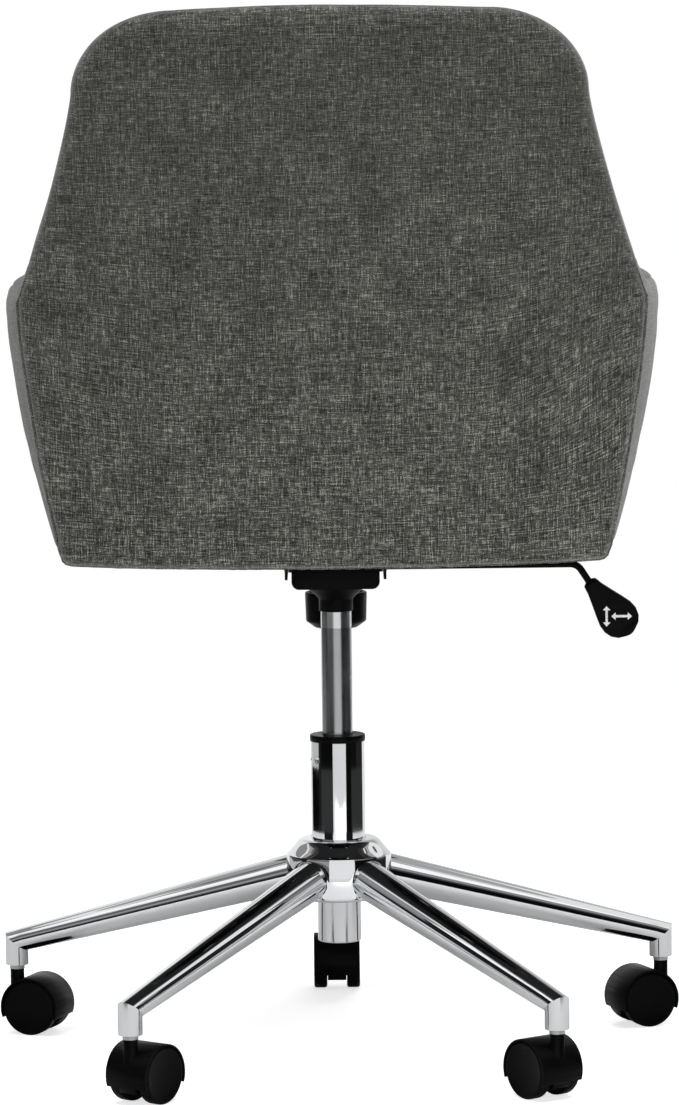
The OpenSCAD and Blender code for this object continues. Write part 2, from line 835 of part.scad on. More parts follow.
module seat_plate() {
    corner = 14;
    slot = [bolt_d + 1.6, bolt_d + 9];
    color(black_colour)
        translate([0, 0, plate_z - plate_t])
            linear_extrude(height = plate_t)
                difference() {
                    polygon(concat(
                        arc([plate_w / 2 - corner, plate_front - corner], corner, 0, 90, 6),
                        arc([-plate_w / 2 + corner, plate_front - corner], corner, 90, 180, 6),
                        arc([-plate_w / 2 + corner, -plate_back + corner], corner, 180, 270, 6),
                        arc([plate_w / 2 - corner, -plate_back + corner], corner, 270, 360, 6)));
                    for (hole = bolt_holes)
                        translate(hole) circle(d = seat_bolt_d + 2 * fit_gap);
                    // slot for the tension bolt, long enough for the recline
                    translate([-slot[0] / 2, bolt_y - bolt_d / 2 - 1.5])
                        square(slot);
                }
}

// Flange welded under the seat plate: it hangs on the tilt axle
module flange(side) {
    play = 4;
    slot_z = lever_z + axle_y * sin(tilt_max);
    color(black_colour)
        mirror([side > 0 ? 0 : 1, 0, 0])
            difference() {
                along_x(flange_gap / 2, flange_out) flange_outline();
                translate([0, axle_y, axle_z])
                    rotate([0, 90, 0])
                        cylinder(h = big, d = tilt_axle_d);
                // slot that the lever rod moves in when the seat reclines
                for (z = [lever_z - 1, slot_z + 1])
                    translate([0, 0, z])
                        rotate([0, 90, 0])
                            cylinder(h = big, d = lever_d + play);
                translate([0, -(lever_d + play) / 2, lever_z - 1])
                    cube([big, lever_d + play, slot_z - lever_z + 2]);
            }
}

module flange_left() { flange(-1); }
module flange_right() { flange(1); }

module tilt_axle() {
    color(steel_colour)
        translate([-flange_out - 3, axle_y, axle_z])
            rotate([0, 90, 0])
                cylinder(h = 2 * flange_out + 6, d = tilt_axle_d);
}

module axle_clips() {
    clip_t = 1.2;
    color(steel_colour)
        for (side = [-1, 1])
            translate([side * (flange_out + fit_gap + clip_t / 2), axle_y, axle_z])
                rotate([0, 90, 0])
                    difference() {
                        cylinder(h = clip_t, d = tilt_axle_d + 7, center = true);
                        cylinder(h = 2 * clip_t, d = tilt_axle_d, center = true);
                        translate([-tilt_axle_d / 2 + 1.5, 0, -clip_t])
                            cube([tilt_axle_d - 3, tilt_axle_d, 2 * clip_t]);
                    }
}

module seat_bolts() {
    head_h = 4;
    color(steel_colour)
        for (hole = bolt_holes)
            translate([hole[0], hole[1], plate_z - plate_t - head_h]) {
                cylinder(h = head_h, r = seat_bolt_d, $fn = 6);
                cylinder(h = head_h + plate_t + dust_t + board_t - 1, d = seat_bolt_d);
            }
}

// ---------------------------------------------------------------- upholstery shapes

// Half the width of the back at a height
function back_half(z) = z > flare_z
    ? back_half_w + (flare_half_w - back_half_w)
        * pow(clamp((corner_z - z) / (corner_z - flare_z)), 1.2)
    : foot_half_w + (flare_half_w - foot_half_w)
        * (1 - pow(1 - clamp((z - foot_z) / (flare_z - foot_z)), 1.4));
corner_z = back_top_z - back_crown - back_corner;

// Rear face of the back, leaning and wrapped forward at the sides
function rear_face(x, z) =
    -back_y - back_lean * (z - foot_z) + back_wrap * pow(x / flare_half_w, 2);
// Front face of the inner back pad
function front_face(x, z) = rear_face(x, z) + panel_t + panel_gap + pad_t;

function mirrored(half) =
    concat(half, [for (i = [len(half) - 2:-1:1]) [-half[i][0], half[i][1]]]);

// Outline of the back seen from behind, from the middle of its top down one side
back_outline = let (
        corner_x = back_half_w - back_corner,
        foot_r = 10,
        foot_x = foot_half_w + 2)
    mirrored(concat(
        [for (i = [0:6]) let (x = corner_x * i / 7) [x, back_top_z - back_crown * pow(x / corner_x, 2)]],
        arc([corner_x, corner_z], back_corner, 90, 0, 6),
        [for (i = [1:6]) let (z = mix(corner_z, flare_z, i / 6)) [back_half(z), z]],
        [for (i = [1:5]) let (z = mix(flare_z, foot_z + foot_r, i / 5)) [back_half(z), z]],
        arc([foot_x - foot_r, foot_z + foot_r], foot_r, -20, -90, 3),
        [for (i = [7:-1:0]) let (t = i / 8) [(foot_x - foot_r) * t, foot_z - foot_sag * (1 - pow(t, 4))]]));
back_middle = [0, (foot_z + back_top_z) / 2];

// 1 where an arm joins the back's edge, 0 where the edge is free
function joined(p) = p[1] < foot_z + 12 && abs(p[0]) < foot_half_w - 20
    ? 0
    : smooth((arm_top_z + 20 - p[1]) / 40);

function edge_rings(r, half_t) = concat(
    [for (s = [0.5, 0.85]) [s, function(p) r, half_t]],
    [for (a = [0:30:180]) [1, function(p) r * (1 - sin(a)) * (1 - joined(p)), half_t * cos(a)]],
    [for (s = [0.85, 0.5]) [s, function(p) r, -half_t]]);

module back_pad() {
    mid = panel_t + panel_gap + pad_t / 2;
    color(fabric_colour)
        pillow(back_outline, back_middle, edge_rings(pad_t / 2 - 1, pad_t / 2),
            function(p, h) [p[0], rear_face(p[0], p[1]) + mid + h, p[1]]);
}

// Outer back panel: it closes the pad from behind, with its rear edge rolled over
module back_panel() {
    roll_in = 9;
    edge = 1;
    flat = function(p) pad_t / 2 - 1;
    rings = concat(
        [for (s = [0.5, 0.85, 1]) [s, flat, panel_t / 2]],
        [for (a = [0:18:90]) [1, function(p) edge + roll_in * (1 - cos(a)),
            panel_t / 2 - edge - (panel_t - edge) * sin(a)]],
        [for (s = [1, 0.85, 0.5]) [s, flat, -panel_t / 2]]);
    color(fabric_colour)
        pillow(back_outline, back_middle, rings,
            function(p, h) [p[0], rear_face(p[0], p[1]) + panel_t / 2 + h, p[1]]);
}

// Outer side of an arm at a place along it and a height
function arm_outer(y, z) = let (
        rise = clamp((z - foot_z) / (arm_top_z - arm_t / 2 - foot_z)),
        wide = mix(arm_foot_half_w, arm_half_w, 1 - pow(1 - rise, 1.6)),
        nip = 10 * pow(clamp(y / arm_front_y), 2),
        blend = smooth((y + back_y - panel_t - pad_t) / (back_y - panel_t - pad_t)))
    mix(back_half(z), wide - nip, blend);
function arm_thick(z) = mix(arm_t - 14, arm_t, clamp((z - foot_z) / (arm_top_z - foot_z)));
// Height of an arm's upper edge: it sweeps up into the back and falls to the front
function arm_crest(y) = let (low_y = -120)
    arm_top_z + arm_sweep * (1 - smooth((y + 205) / (low_y + 205)))
    - arm_fall * pow(clamp((y - low_y) / (arm_front_y - low_y)), 1.3);

// Section of an arm: up its outer side, over the rounded top and down inside
function arm_section(share, inset, y_end) = let (
        crest = arm_crest(mix(-200, y_end, share)) - inset,
        foot = foot_z + inset,
        spring_line = crest - arm_t / 2 + 1,
        levels = [for (i = [0:4]) mix(foot + 5, spring_line, i / 4)],
        place = function(across, z) let (
                half = arm_thick(min(z, spring_line)) / 2 - inset,
                side = half * (across - 1) - inset,
                rear = front_face(arm_outer(-200, min(z, spring_line)) + side, z) + 3 * soft_gap,
                y = mix(rear, y_end, share))
            [arm_outer(y, min(z, spring_line)) + side, y, z])
    concat(
        [place(0.8, foot)],
        [for (z = levels) place(1, z)],
        [for (a = [15:30:165]) place(cos(a), spring_line + (crest - spring_line) * sin(a))],
        [for (i = [4:-1:0]) place(-1, levels[i])],
        [place(-0.8, foot)]);

module arm(side) {
    nose = arm_t / 2 - 5;
    straight = arm_front_y - nose;
    stations = concat(
        [for (i = [0:9]) arm_section(i / 9, 0, straight)],
        [for (a = [25, 50, 70, 85]) arm_section(1, nose * (1 - cos(a)), straight + nose * sin(a))]);
    color(light_fabric_colour)
        mirror([side > 0 ? 0 : 1, 0, 0])
            loft(stations);
}

module arm_left() { arm(-1); }
module arm_right() { arm(1); }

// Plan of the seat between the arms and the back, from its front middle round one side
function seat_outline(level, front_y) = let (
        corner = 34,
        side_y = [for (i = [0:5]) mix(front_y - corner, -170, i / 5)],
        half = function(y) arm_outer(max(y, -200), level) - arm_thick(level) - seat_side_gap,
        rear_half = half(-170) - 16)
    mirrored(concat(
        [[0, front_y], [100, front_y - 1]],
        arc([half(front_y - corner) - corner, front_y - corner], corner, 90, 18, 4),
        [for (y = side_y) [half(y), y]],
        [for (i = [0:3]) let (x = rear_half * (1 - i / 3)) [x, front_face(x, level) + seat_rear_gap]]));

function slab_rings(t, top_r, foot_r, crown) = concat(
    [[0.55, function(p) top_r, t + crown * 0.7], [0.85, function(p) top_r, t + crown * 0.25]],
    [for (a = [0:30:90]) [1, function(p) top_r * (1 - sin(a)), t - top_r * (1 - cos(a))]],
    [for (a = [0:45:90]) [1, function(p) foot_r * (1 - cos(a)), foot_r * (1 - sin(a))]],
    [[0.6, function(p) foot_r, 0]]);

module seat_cushion() {
    outline = seat_outline(cushion_z, cushion_front_y);
    color(light_fabric_colour)
        pillow(outline, [0, 20], slab_rings(cushion_t, 24, 8, cushion_crown),
            function(p, h) [p[0], p[1], cushion_z + h]);
}

module deck_pad() {
    outline = seat_outline(deck_z, cushion_front_y - 24);
    color(fabric_colour)
        pillow(outline, [0, 20], slab_rings(deck_t, 3, 3, 0),
            function(p, h) [p[0], p[1], deck_z + h]);
}

// Upholstered band in front of the seat board, under the cushion
module front_rail() {
    rail_t = 20;
    half = arm_outer(cushion_front_y - 30, foot_z) - arm_thick(foot_z) - 1;
    from = cushion_front_y - 24 + soft_gap;
    high = cushion_z - soft_gap - foot_z;
    color(fabric_colour)
        along_x(-half, half)
            polygon(concat(
                [[from, foot_z + high], [from, foot_z]],
                arc([from + rail_t - 6, foot_z + 6], 6, -90, 0, 4),
                arc([from + rail_t - 6, foot_z + high - 6], 6, 0, 90, 4)));
}

module board_plan(shrink) {
    half = foot_half_w - arm_t + 14 - shrink;
    corner = 40;
    rear = front_face(half - 2 * corner, foot_z - foot_sag) + seat_rear_gap + shrink;
    front = cushion_front_y - 24 - shrink;
    difference() {
        polygon(concat(
            arc([half - corner, front - corner], corner, 0, 90, 8),
            arc([-half + corner, front - corner], corner, 90, 180, 8),
            arc([-half + 2 * corner, rear + 2 * corner], 2 * corner, 180, 270, 10),
            arc([half - 2 * corner, rear + 2 * corner], 2 * corner, 270, 360, 10)));
        for (hole = bolt_holes)
            translate(hole) circle(d = seat_bolt_d + 2 * fit_gap);
        translate([-pocket[0] / 2, pocket_y - pocket[1] / 2])
            square(pocket);
    }
}

module seat_board() {
    color(wood_colour)
        translate([0, 0, board_z])
            linear_extrude(height = board_t) board_plan(0);
}

module dust_cover() {
    color(black_colour)
        translate([0, 0, dust_z])
            linear_extrude(height = dust_t) board_plan(3);
}

// ---------------------------------------------------------------- casters

module at_caster(k) {
    rotate(90 + base_turn + 360 / arm_count * (k - 1))
        translate([socket_radius, 0, 0])
            rotate(caster_turn[k - 1] - 90 - base_turn - 360 / arm_count * (k - 1))
                children();
}

wheel_r = wheel_d / 2;
roof_r = wheel_r + roof_gap;
hood_r = roof_r + roof_t;
web_w = caster_w - 2 * wheel_w - 1.2;
neck_top = socket_z - 4;

// Hood: a roof over both treads, a web between the wheels and the neck
module caster_hood(k) {
    reach = 2 * hood_r;
    color(black_colour)
        at_caster(k)
            difference() {
                union() {
                    translate([caster_trail, 0, wheel_r]) {
                        along_y(-caster_w / 2, caster_w / 2)
                            difference() {
                                circle(r = hood_r);
                                circle(r = roof_r);
                                polygon([
                                    [0, 0], [reach * cos(roof_reach), -reach * sin(roof_reach)],
                                    [reach, -reach], [-reach, -reach],
                                    [-reach * cos(roof_reach), -reach * sin(roof_reach)]]);
                            }
                        along_y(-web_w / 2, web_w / 2)
                            difference() {
                                circle(r = hood_r - tiny);
                                translate([-reach, -reach - wheel_r + web_clear])
                                    square([2 * reach, reach]);
                            }
                    }
                    translate([0, 0, web_clear + 6])
                        cylinder(h = neck_top - web_clear - 6, d = neck_d);
                }
                translate([0, 0, web_clear + 10])
                    cylinder(h = neck_top, d = stem_d + 2 * tiny);
                translate([caster_trail, 0, wheel_r])
                    rotate([90, 0, 0])
                        cylinder(h = caster_w, d = wheel_axle_d + 2 * tiny, center = true);
            }
}

// Stem with its collar, and the wheels' axle
module caster_pins(k) {
    collar_h = 3;
    axle_len = caster_w - 2.2;
    color(chrome_colour)
        at_caster(k) {
            translate([0, 0, web_clear + 10])
                cylinder(h = socket_z + bush_len - 1 - web_clear - 10, d = stem_d);
            translate([0, 0, neck_top + fit_gap])
                cylinder(h = collar_h, d = neck_d + 1);
            translate([caster_trail, 0, wheel_r])
                rotate([90, 0, 0])
                    cylinder(h = axle_len, d = wheel_axle_d, center = true);
        }
}

// Wheel with rounded tread edges and a shallow dished outer face
module wheel(k, side) {
    edge = 2.4;
    dish = 0.4;
    inner = caster_w / 2 - wheel_w;
    outer = caster_w / 2;
    color(black_colour)
        at_caster(k)
            translate([caster_trail, 0, wheel_r])
                rotate([-side * 90, 0, 0])
                    difference() {
                        rotate_extrude()
                            polygon(concat(
                                [[0, inner]],
                                arc([wheel_r - edge, inner + edge], edge, -90, 0, 5),
                                arc([wheel_r - edge, outer - edge], edge, 0, 90, 5),
                                [[wheel_r - edge - 1, outer - dish], [0, outer - dish]]));
                        translate([0, 0, inner - tiny])
                            cylinder(h = wheel_w - 1, d = wheel_axle_d + 2 * run_gap);
                    }
}

// ---------------------------------------------------------------- the chair

hub_shell();
hub_sleeve();
base_arms();
caster_sockets();
stem_bushes();
column_tube();
cap_ring();
guide_bush();
thrust_bearing();
piston_rod();
piston();
rod_clip();
rubber_bumper();
upper_race();
gas_cylinder();
valve_button();
taper_socket();
tilt_housing();
tension_spring();
tension_bolt();
tension_knob();
lever_barrel();
lever_rod();
lever_paddle();
seat_plate();
flange_left();
flange_right();
tilt_axle();
axle_clips();
seat_bolts();
seat_board();
dust_cover();
deck_pad();
seat_cushion();
front_rail();
back_pad();
back_panel();
arm_left();
arm_right();
for (k = casters) {
    caster_hood(k);
    caster_pins(k);
    wheel(k, 1);
    wheel(k, -1);
}
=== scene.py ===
# %% [markdown]
# # Dressing a swivel office chair
# The frame already holds every rigid piece of the chair in its right place, in metres: a
# chrome base on casters, a gas lift, a tilt mechanism and a seat plate. This lesson gives
# the hard pieces their finishes, sews the upholstery over the seat, and lights the result.
#
# A hard piece keeps its shape and only gets a finish. A soft piece is made anew, because a
# cushion needs far more points than a rough solid has, and it then stands in for the solid.

# %% Load the frame
import json
import math

import bpy
import numpy as np
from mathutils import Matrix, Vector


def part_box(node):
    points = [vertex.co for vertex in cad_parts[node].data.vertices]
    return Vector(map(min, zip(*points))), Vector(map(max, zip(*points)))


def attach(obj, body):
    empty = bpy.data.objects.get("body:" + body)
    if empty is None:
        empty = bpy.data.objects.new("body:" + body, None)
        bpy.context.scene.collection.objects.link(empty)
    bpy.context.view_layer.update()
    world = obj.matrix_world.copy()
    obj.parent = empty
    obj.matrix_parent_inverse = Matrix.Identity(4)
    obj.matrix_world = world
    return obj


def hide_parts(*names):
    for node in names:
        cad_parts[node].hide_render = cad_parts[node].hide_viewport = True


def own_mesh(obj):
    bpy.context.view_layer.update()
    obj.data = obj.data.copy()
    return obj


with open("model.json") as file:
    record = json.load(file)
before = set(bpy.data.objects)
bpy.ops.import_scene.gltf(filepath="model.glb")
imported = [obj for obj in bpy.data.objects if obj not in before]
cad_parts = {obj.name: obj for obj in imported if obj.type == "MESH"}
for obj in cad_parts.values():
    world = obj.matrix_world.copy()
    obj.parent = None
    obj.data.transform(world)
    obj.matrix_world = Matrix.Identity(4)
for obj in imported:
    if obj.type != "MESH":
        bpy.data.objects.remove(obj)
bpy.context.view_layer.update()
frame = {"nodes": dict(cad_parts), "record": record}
record = frame["record"]

# %% [markdown]
# ## The camera
# The chair is looked at from behind, a little from above, through a long lens. A long lens
# stands far away and keeps the base and the back at the same scale, as in a catalogue.
# The lens is given by how many times the frame's height the subject's distance is, which is
# easier to reason about than a focal length: Blender turns it into millimetres of a sensor.

# %% Place the camera
eye = (0.0038, -5.0, 0.984)
pitch = math.radians(6.02)
tilt_of_frame = math.radians(-0.67)
frame_height = 1105
focal_in_heights = 5513 / frame_height
sensor = 36


def put(name, data):
    """Puts new data into the scene as an object."""
    made = bpy.data.objects.new(name, data)
    bpy.context.scene.collection.objects.link(made)
    return made


camera_data = bpy.data.cameras.new("camera")
camera_data.sensor_width = sensor
camera_data.lens = focal_in_heights * sensor
camera_data.clip_end = 500
camera = put("camera", camera_data)
camera.location = eye
camera.rotation_mode = "ZYX"
camera.rotation_euler = (math.pi / 2 - pitch, 0, tilt_of_frame)
bpy.context.scene.camera = camera
print("lens:", round(camera_data.lens, 1), "mm")

# %% [markdown]
# ## Helpers for materials
# Every finish below is a small graph of nodes around the Principled shader. Written out node
# by node such a graph is long, so short helpers do what all of them share. One makes an empty
# material. One adds a node and fills its inputs, with a number where the value is fixed and
# with a link where another node gives it. The rest are the steps that most finishes repeat: a
# ramp of colours, a sum, a stretched map, a new range and a bump.

# %% Material helpers
def new_finish(name, **fixed):
    finish = bpy.data.materials.new(name)
    finish.use_nodes = True
    shader = finish.node_tree.nodes["Principled BSDF"]
    for socket, value in fixed.items():
        shader.inputs[socket.replace("_", " ")].default_value = value
    return finish, finish.node_tree, shader


def add(tree, kind, inputs=None, output=0, **settings):
    """Adds a node, fills its inputs, and gives back one of its outputs."""
    made = tree.nodes.new("ShaderNode" + kind)
    for name, value in settings.items():
        setattr(made, name, value)
    for name, value in (inputs or {}).items():
        if isinstance(value, bpy.types.NodeSocket):
            tree.links.new(value, made.inputs[name])
        else:
            made.inputs[name].default_value = value
    return made.outputs[output]


def ramp(tree, factor, stops):
    """Turns a factor into a shade, by stops of (place, grey) or (place, colour)."""
    made = add(tree, "ValToRGB", {0: factor}).node
    colours = made.color_ramp
    while len(colours.elements) < len(stops):
        colours.elements.new(0.5)
    for element, (place, shade) in zip(colours.elements, stops):
        element.position = place
        element.color = (*(shade if hasattr(shade, "__len__") else (shade,) * 3), 1)
    return made.outputs[0]


def sums(tree, operation, a, b):
    return add(tree, "Math", {0: a, 1: b}, operation=operation)


def plus(tree, a, b):
    return sums(tree, "ADD", a, b)


def times(tree, a, b):
    return sums(tree, "MULTIPLY", a, b)


def stretched(tree, place, scale):
    return add(tree, "Mapping", {"Vector": place, "Scale": scale})


def remap(tree, value, low, high, to_low=0.0, to_high=1.0):
    """Goes from to_low to to_high while the value goes from low to high."""
    return add(tree, "MapRange", {0: value, 1: low, 2: high, 3: to_low, 4: to_high})


def blend_colours(tree, share, one, two):
    return add(tree, "Mix", {0: share, 6: one, 7: two}, 2, data_type="RGBA")


def emboss(tree, shader, height, strength, distance):
    """Shades the surface as if a height had raised it, without moving a point."""
    bump = add(tree, "Bump", {"Height": height, "Strength": strength, "Distance": distance})
    tree.links.new(bump, shader.inputs["Normal"])


print("helpers ready")

# %% [markdown]
# ## Linen-look upholstery
# The cover is a flat weave in charcoal. Single threads are lighter or darker than the rest,
# and each keeps its tone for a centimetre or more before it dips under: the eye sees short
# dashes that cross at right angles.
#
# A picture of cloth could be tiled over the chair, but it would repeat. Two noises do it
# better: one is pulled out along the warp, one along the weft, and a fine chequer decides
# which of the two threads lies on top. The weave reads a map in metres, so that the threads
# have the same width on every piece.

# %% The weave
thread = 0.00105
slub_length = 0.009
lively_z, calm_z = 0.50, 0.84
usual_sum = 0.97
tones = [(-0.22, 0.006), (-0.09, 0.028), (0.0, 0.055), (0.10, 0.105), (0.26, 0.32)]
lowest, highest = -0.4, 0.4
charcoal = (1.0, 1.01, 0.90)


def linen(name):
    finish, tree, shader = new_finish(name, Roughness=0.86, Sheen_Weight=0.30,
                                      Sheen_Roughness=0.4, Specular_IOR_Level=0.22)
    weave = add(tree, "UVMap", uv_map="weave")
    across, along = 1 / thread, 1 / slub_length

    def threads(scale, offset, detail):
        place = add(tree, "Mapping", {"Vector": weave, "Scale": (*scale, 1),
                                      "Location": (*offset, 0)})
        return add(tree, "TexNoise", {"Vector": place, "Scale": 1.0, "Detail": detail,
                                      "Roughness": 0.62}, noise_dimensions="2D")

    def with_long(short, long):
        return plus(tree, short, times(tree, long, 0.5))

    upright = with_long(threads((across, along), (3.1, 7.7), 2),
                        threads((across * 0.8, along * 0.2), (5.2, 2.4), 1))
    level = with_long(threads((along, across), (11.3, 1.9), 2),
                      threads((along * 0.2, across * 0.8), (8.6, 4.1), 1))
    # One thread lies on top, but never hides the other altogether.
    over = add(tree, "TexChecker", {"Vector": stretched(tree, weave, (across, across, 1)),
                                    "Scale": 1.0, "Color1": (1, 1, 1, 1), "Color2": (0, 0, 0, 1)})
    on_top = ramp(tree, over, [(0, 0.22), (1, 0.78)])
    both = add(tree, "Mix", {0: on_top, 2: upright, 3: level}, data_type="FLOAT")
    fleck = threads((across * 0.9, across * 0.9), (2.7, 6.3), 1)
    cloud = threads((21, 21), (0, 0), 3)
    shade = plus(tree, both, plus(tree, times(tree, fleck, 0.30), times(tree, cloud, 0.14)))
    # Painted light: the flecks are softer high on the back, as if washed out by light from above.
    height = add(tree, "SeparateXYZ", {0: weave}, "Y")
    painted_light_contrast = remap(tree, height, lively_z, calm_z, 1.12, 0.80)
    shade = times(tree, sums(tree, "SUBTRACT", shade, usual_sum), painted_light_contrast)
    fitted = remap(tree, shade, lowest, highest)
    grey = ramp(tree, fitted, [((place - lowest) / (highest - lowest),
                                [value * tint for tint in charcoal])
                               for place, value in tones])
    tree.links.new(grey, shader.inputs["Base Color"])
    emboss(tree, shader, plus(tree, both, times(tree, on_top, 0.25)), 0.6, 0.0004)
    return finish


fabric = linen("charcoal_linen")
print("thread width:", thread * 1000, "mm")

# %% [markdown]
# ## Chrome and steel
# Polished chrome is almost a mirror: what shows is the room in it. Even so, a mirror without a
# flaw looks drawn, so a faint cloud of smudges lifts its roughness here and there. The lift's
# cylinder is ground and not polished, with hairlines that run round it, and its neck is left
# brighter. The sockets of the casters are brushed upright. Hairlines could be cut into the
# mesh, but they are finer than any mesh that is practical, so they are a bump.

# %% Chrome, steel and brushed sockets
neck_z = 0.3885
bright_steel = (0.62, 0.63, 0.64, 1)


def metal(name, colour, smooth, rough, smudge_scale=14.0, hairlines=None, brushed=0.12,
          bright_above=None):
    """Bare metal, smudged from smooth to rough, with fine lines where hairlines is given."""
    finish, tree, shader = new_finish(name, Metallic=1.0)
    place = add(tree, "TexCoord", output="Object")
    smudges = add(tree, "TexNoise", {"Vector": place, "Scale": smudge_scale, "Detail": 5.0})
    tree.links.new(remap(tree, smudges, 0.35, 0.75, smooth, rough), shader.inputs["Roughness"])
    shade = ramp(tree, smudges, [(0.3, [v * 0.96 for v in colour]), (0.7, colour)])
    if bright_above:
        height = add(tree, "SeparateXYZ", {0: place}, "Z")
        above = sums(tree, "GREATER_THAN", height, bright_above)
        shade = blend_colours(tree, above, shade, bright_steel)
    tree.links.new(shade, shader.inputs["Base Color"])
    if hairlines:
        lines = add(tree, "TexNoise", {"Vector": stretched(tree, place, hairlines),
                                       "Scale": 1.0, "Detail": 2.0})
        emboss(tree, shader, lines, brushed, 0.0002)
    return finish


chrome = metal("polished_chrome", (0.74, 0.75, 0.77), 0.015, 0.05)
steel = metal("ground_steel", (0.36, 0.37, 0.38), 0.20, 0.28, smudge_scale=25.0,
              hairlines=(60, 60, 900), bright_above=neck_z)
socket_finish = metal("brushed_socket", (0.60, 0.61, 0.62), 0.05, 0.12, smudge_scale=30.0,
                      hairlines=(420, 420, 14), brushed=0.6)
print("metals:", ", ".join(finish.name for finish in (chrome, steel, socket_finish)))

# %% [markdown]
# ## Black mouldings
# The housing, the knob and the wheels are moulded or powder coated, and nearly black. A flat
# black would lose their shape, so a fine grain spreads their highlights, and a broad cloud
# makes them a little paler and rougher where they are handled.

# %% Black mouldings and coatings
def moulded(name, colour, rough, grain, depth):
    finish, tree, shader = new_finish(name, Specular_IOR_Level=0.04)
    place = add(tree, "TexCoord", output="Object")
    fine = add(tree, "TexNoise", {"Vector": place, "Scale": grain, "Detail": 2.0})
    broad = add(tree, "TexNoise", {"Vector": place, "Scale": 30.0, "Detail": 4.0})
    handled = [v * 1.35 for v in colour]
    shade = ramp(tree, broad, [(0.35, colour), (0.75, handled)])
    tree.links.new(shade, shader.inputs["Base Color"])
    spread = remap(tree, broad, 0.3, 0.7, rough * 0.88, rough * 1.15)
    tree.links.new(spread, shader.inputs["Roughness"])
    emboss(tree, shader, fine, 0.35, depth)
    return finish


# The knob and the lever's paddle are of one moulding: its colour, roughness, grain and depth.
moulding = (0.0022, 0.0022, 0.0023), 0.30, 900.0, 0.0001
black_metal = moulded("powder_coat", (0.0018, 0.0018, 0.0018), 0.42, 1500.0, 0.0002)
black_plastic = moulded("black_moulding", *moulding)
nylon = moulded("wheel_nylon", (0.0028, 0.0028, 0.0028), 0.38, 1100.0, 0.00012)
rubber = moulded("bumper_rubber", (0.02, 0.02, 0.02), 0.7, 700.0, 0.0003)
print("mouldings:", ", ".join(f.name for f in (black_metal, black_plastic, nylon, rubber)))

# %% [markdown]
# ## Board and liner
# Two finishes are only seen from below. The seat board is plywood stained dark, whose layers
# show as thin lines on its edge. The liner under it is a black non-woven cloth, a mat of tiny
# dots.

# %% Board and liner
def plywood(name):
    finish, tree, shader = new_finish(name, Roughness=0.6)
    place = add(tree, "TexCoord", output="Object")
    layers = add(tree, "TexWave", {"Vector": stretched(tree, place, (4, 0.5, 420)),
                                   "Scale": 1.0, "Distortion": 1.5, "Detail": 2.0})
    stain = ramp(tree, layers, [(0.2, (0.045, 0.034, 0.024)), (0.8, (0.10, 0.075, 0.052))])
    tree.links.new(stain, shader.inputs["Base Color"])
    return finish


def liner(name):
    finish, tree, shader = new_finish(name, Roughness=0.95)
    weave = add(tree, "UVMap", uv_map="weave")
    dots = add(tree, "TexVoronoi", {"Vector": stretched(tree, weave, (900, 900, 1)),
                                    "Scale": 1.0}, voronoi_dimensions="2D")
    tree.links.new(ramp(tree, dots, [(0.1, 0.006), (0.8, 0.018)]), shader.inputs["Base Color"])
    emboss(tree, shader, dots, 0.5, 0.0003)
    return finish


finishes = {
    "chrome": chrome, "steel": steel, "black_metal": black_metal,
    "black_plastic": black_plastic, "nylon": nylon, "rubber": rubber,
    "plywood": plywood("stained_plywood"), "dust_cloth": liner("black_liner"),
    "fabric": fabric,
}
print("finishes:", ", ".join(finishes))

# %% [markdown]
# ## Arrows on the paddle
# The lever's paddle carries two plain white arrows, one for up and down and one for in and
# out. They could be thin pieces laid on it, but ink has no thickness, so they are drawn in the
# finish: a shaft and two heads are where simple sums of a point's place come out as one.

# %% Printed arrows
paddle_centre, paddle_face_y = (0.2563, 0.3958), -0.0048
shaft_half, shaft_reach = 0.0011, 0.0062
head_tip, head_foot, head_slope = 0.0094, 0.0055, 0.9
upright_x, level_x = -0.0095, 0.0042


def printed(finish, centre, face_y):
    """Prints the two arrows in white, round a centre of (x, z), on what is behind face_y."""
    tree = finish.node_tree
    shader = tree.nodes["Principled BSDF"]
    place = add(tree, "VectorMath", {0: add(tree, "TexCoord", output="Object"),
                                     1: (centre[0], 0, centre[1])}, operation="SUBTRACT")
    x, y, z = add(tree, "SeparateXYZ", {0: place}).node.outputs

    def arrow(across, along):
        across, along = [add(tree, "Math", {0: side}, operation="ABSOLUTE")
                         for side in (across, along)]
        shaft = times(tree, sums(tree, "LESS_THAN", across, shaft_half),
                      sums(tree, "LESS_THAN", along, shaft_reach))
        slope = times(tree, sums(tree, "SUBTRACT", head_tip, along), head_slope)
        head = times(tree, sums(tree, "LESS_THAN", across, slope),
                     sums(tree, "GREATER_THAN", along, head_foot))
        return sums(tree, "MAXIMUM", shaft, head)

    upright = arrow(sums(tree, "SUBTRACT", x, upright_x), z)
    level = arrow(z, sums(tree, "SUBTRACT", x, level_x))
    marks = times(tree, sums(tree, "MAXIMUM", upright, level),
                  sums(tree, "LESS_THAN", y, face_y))
    worn = add(tree, "TexNoise", {"Vector": place, "Scale": 900.0, "Detail": 2.0})
    marks = times(tree, marks, remap(tree, worn, 0.3, 0.5, 0.6, 1.0))
    black = shader.inputs["Base Color"].links[0].from_socket
    tree.links.new(blend_colours(tree, marks, black, (0.8, 0.8, 0.8, 1)),
                   shader.inputs["Base Color"])
    return finish


paddle_finish = printed(moulded("paddle_moulding", *moulding), paddle_centre, paddle_face_y)
print("arrows:", round(2 * head_tip * 1000, 1), "mm long")
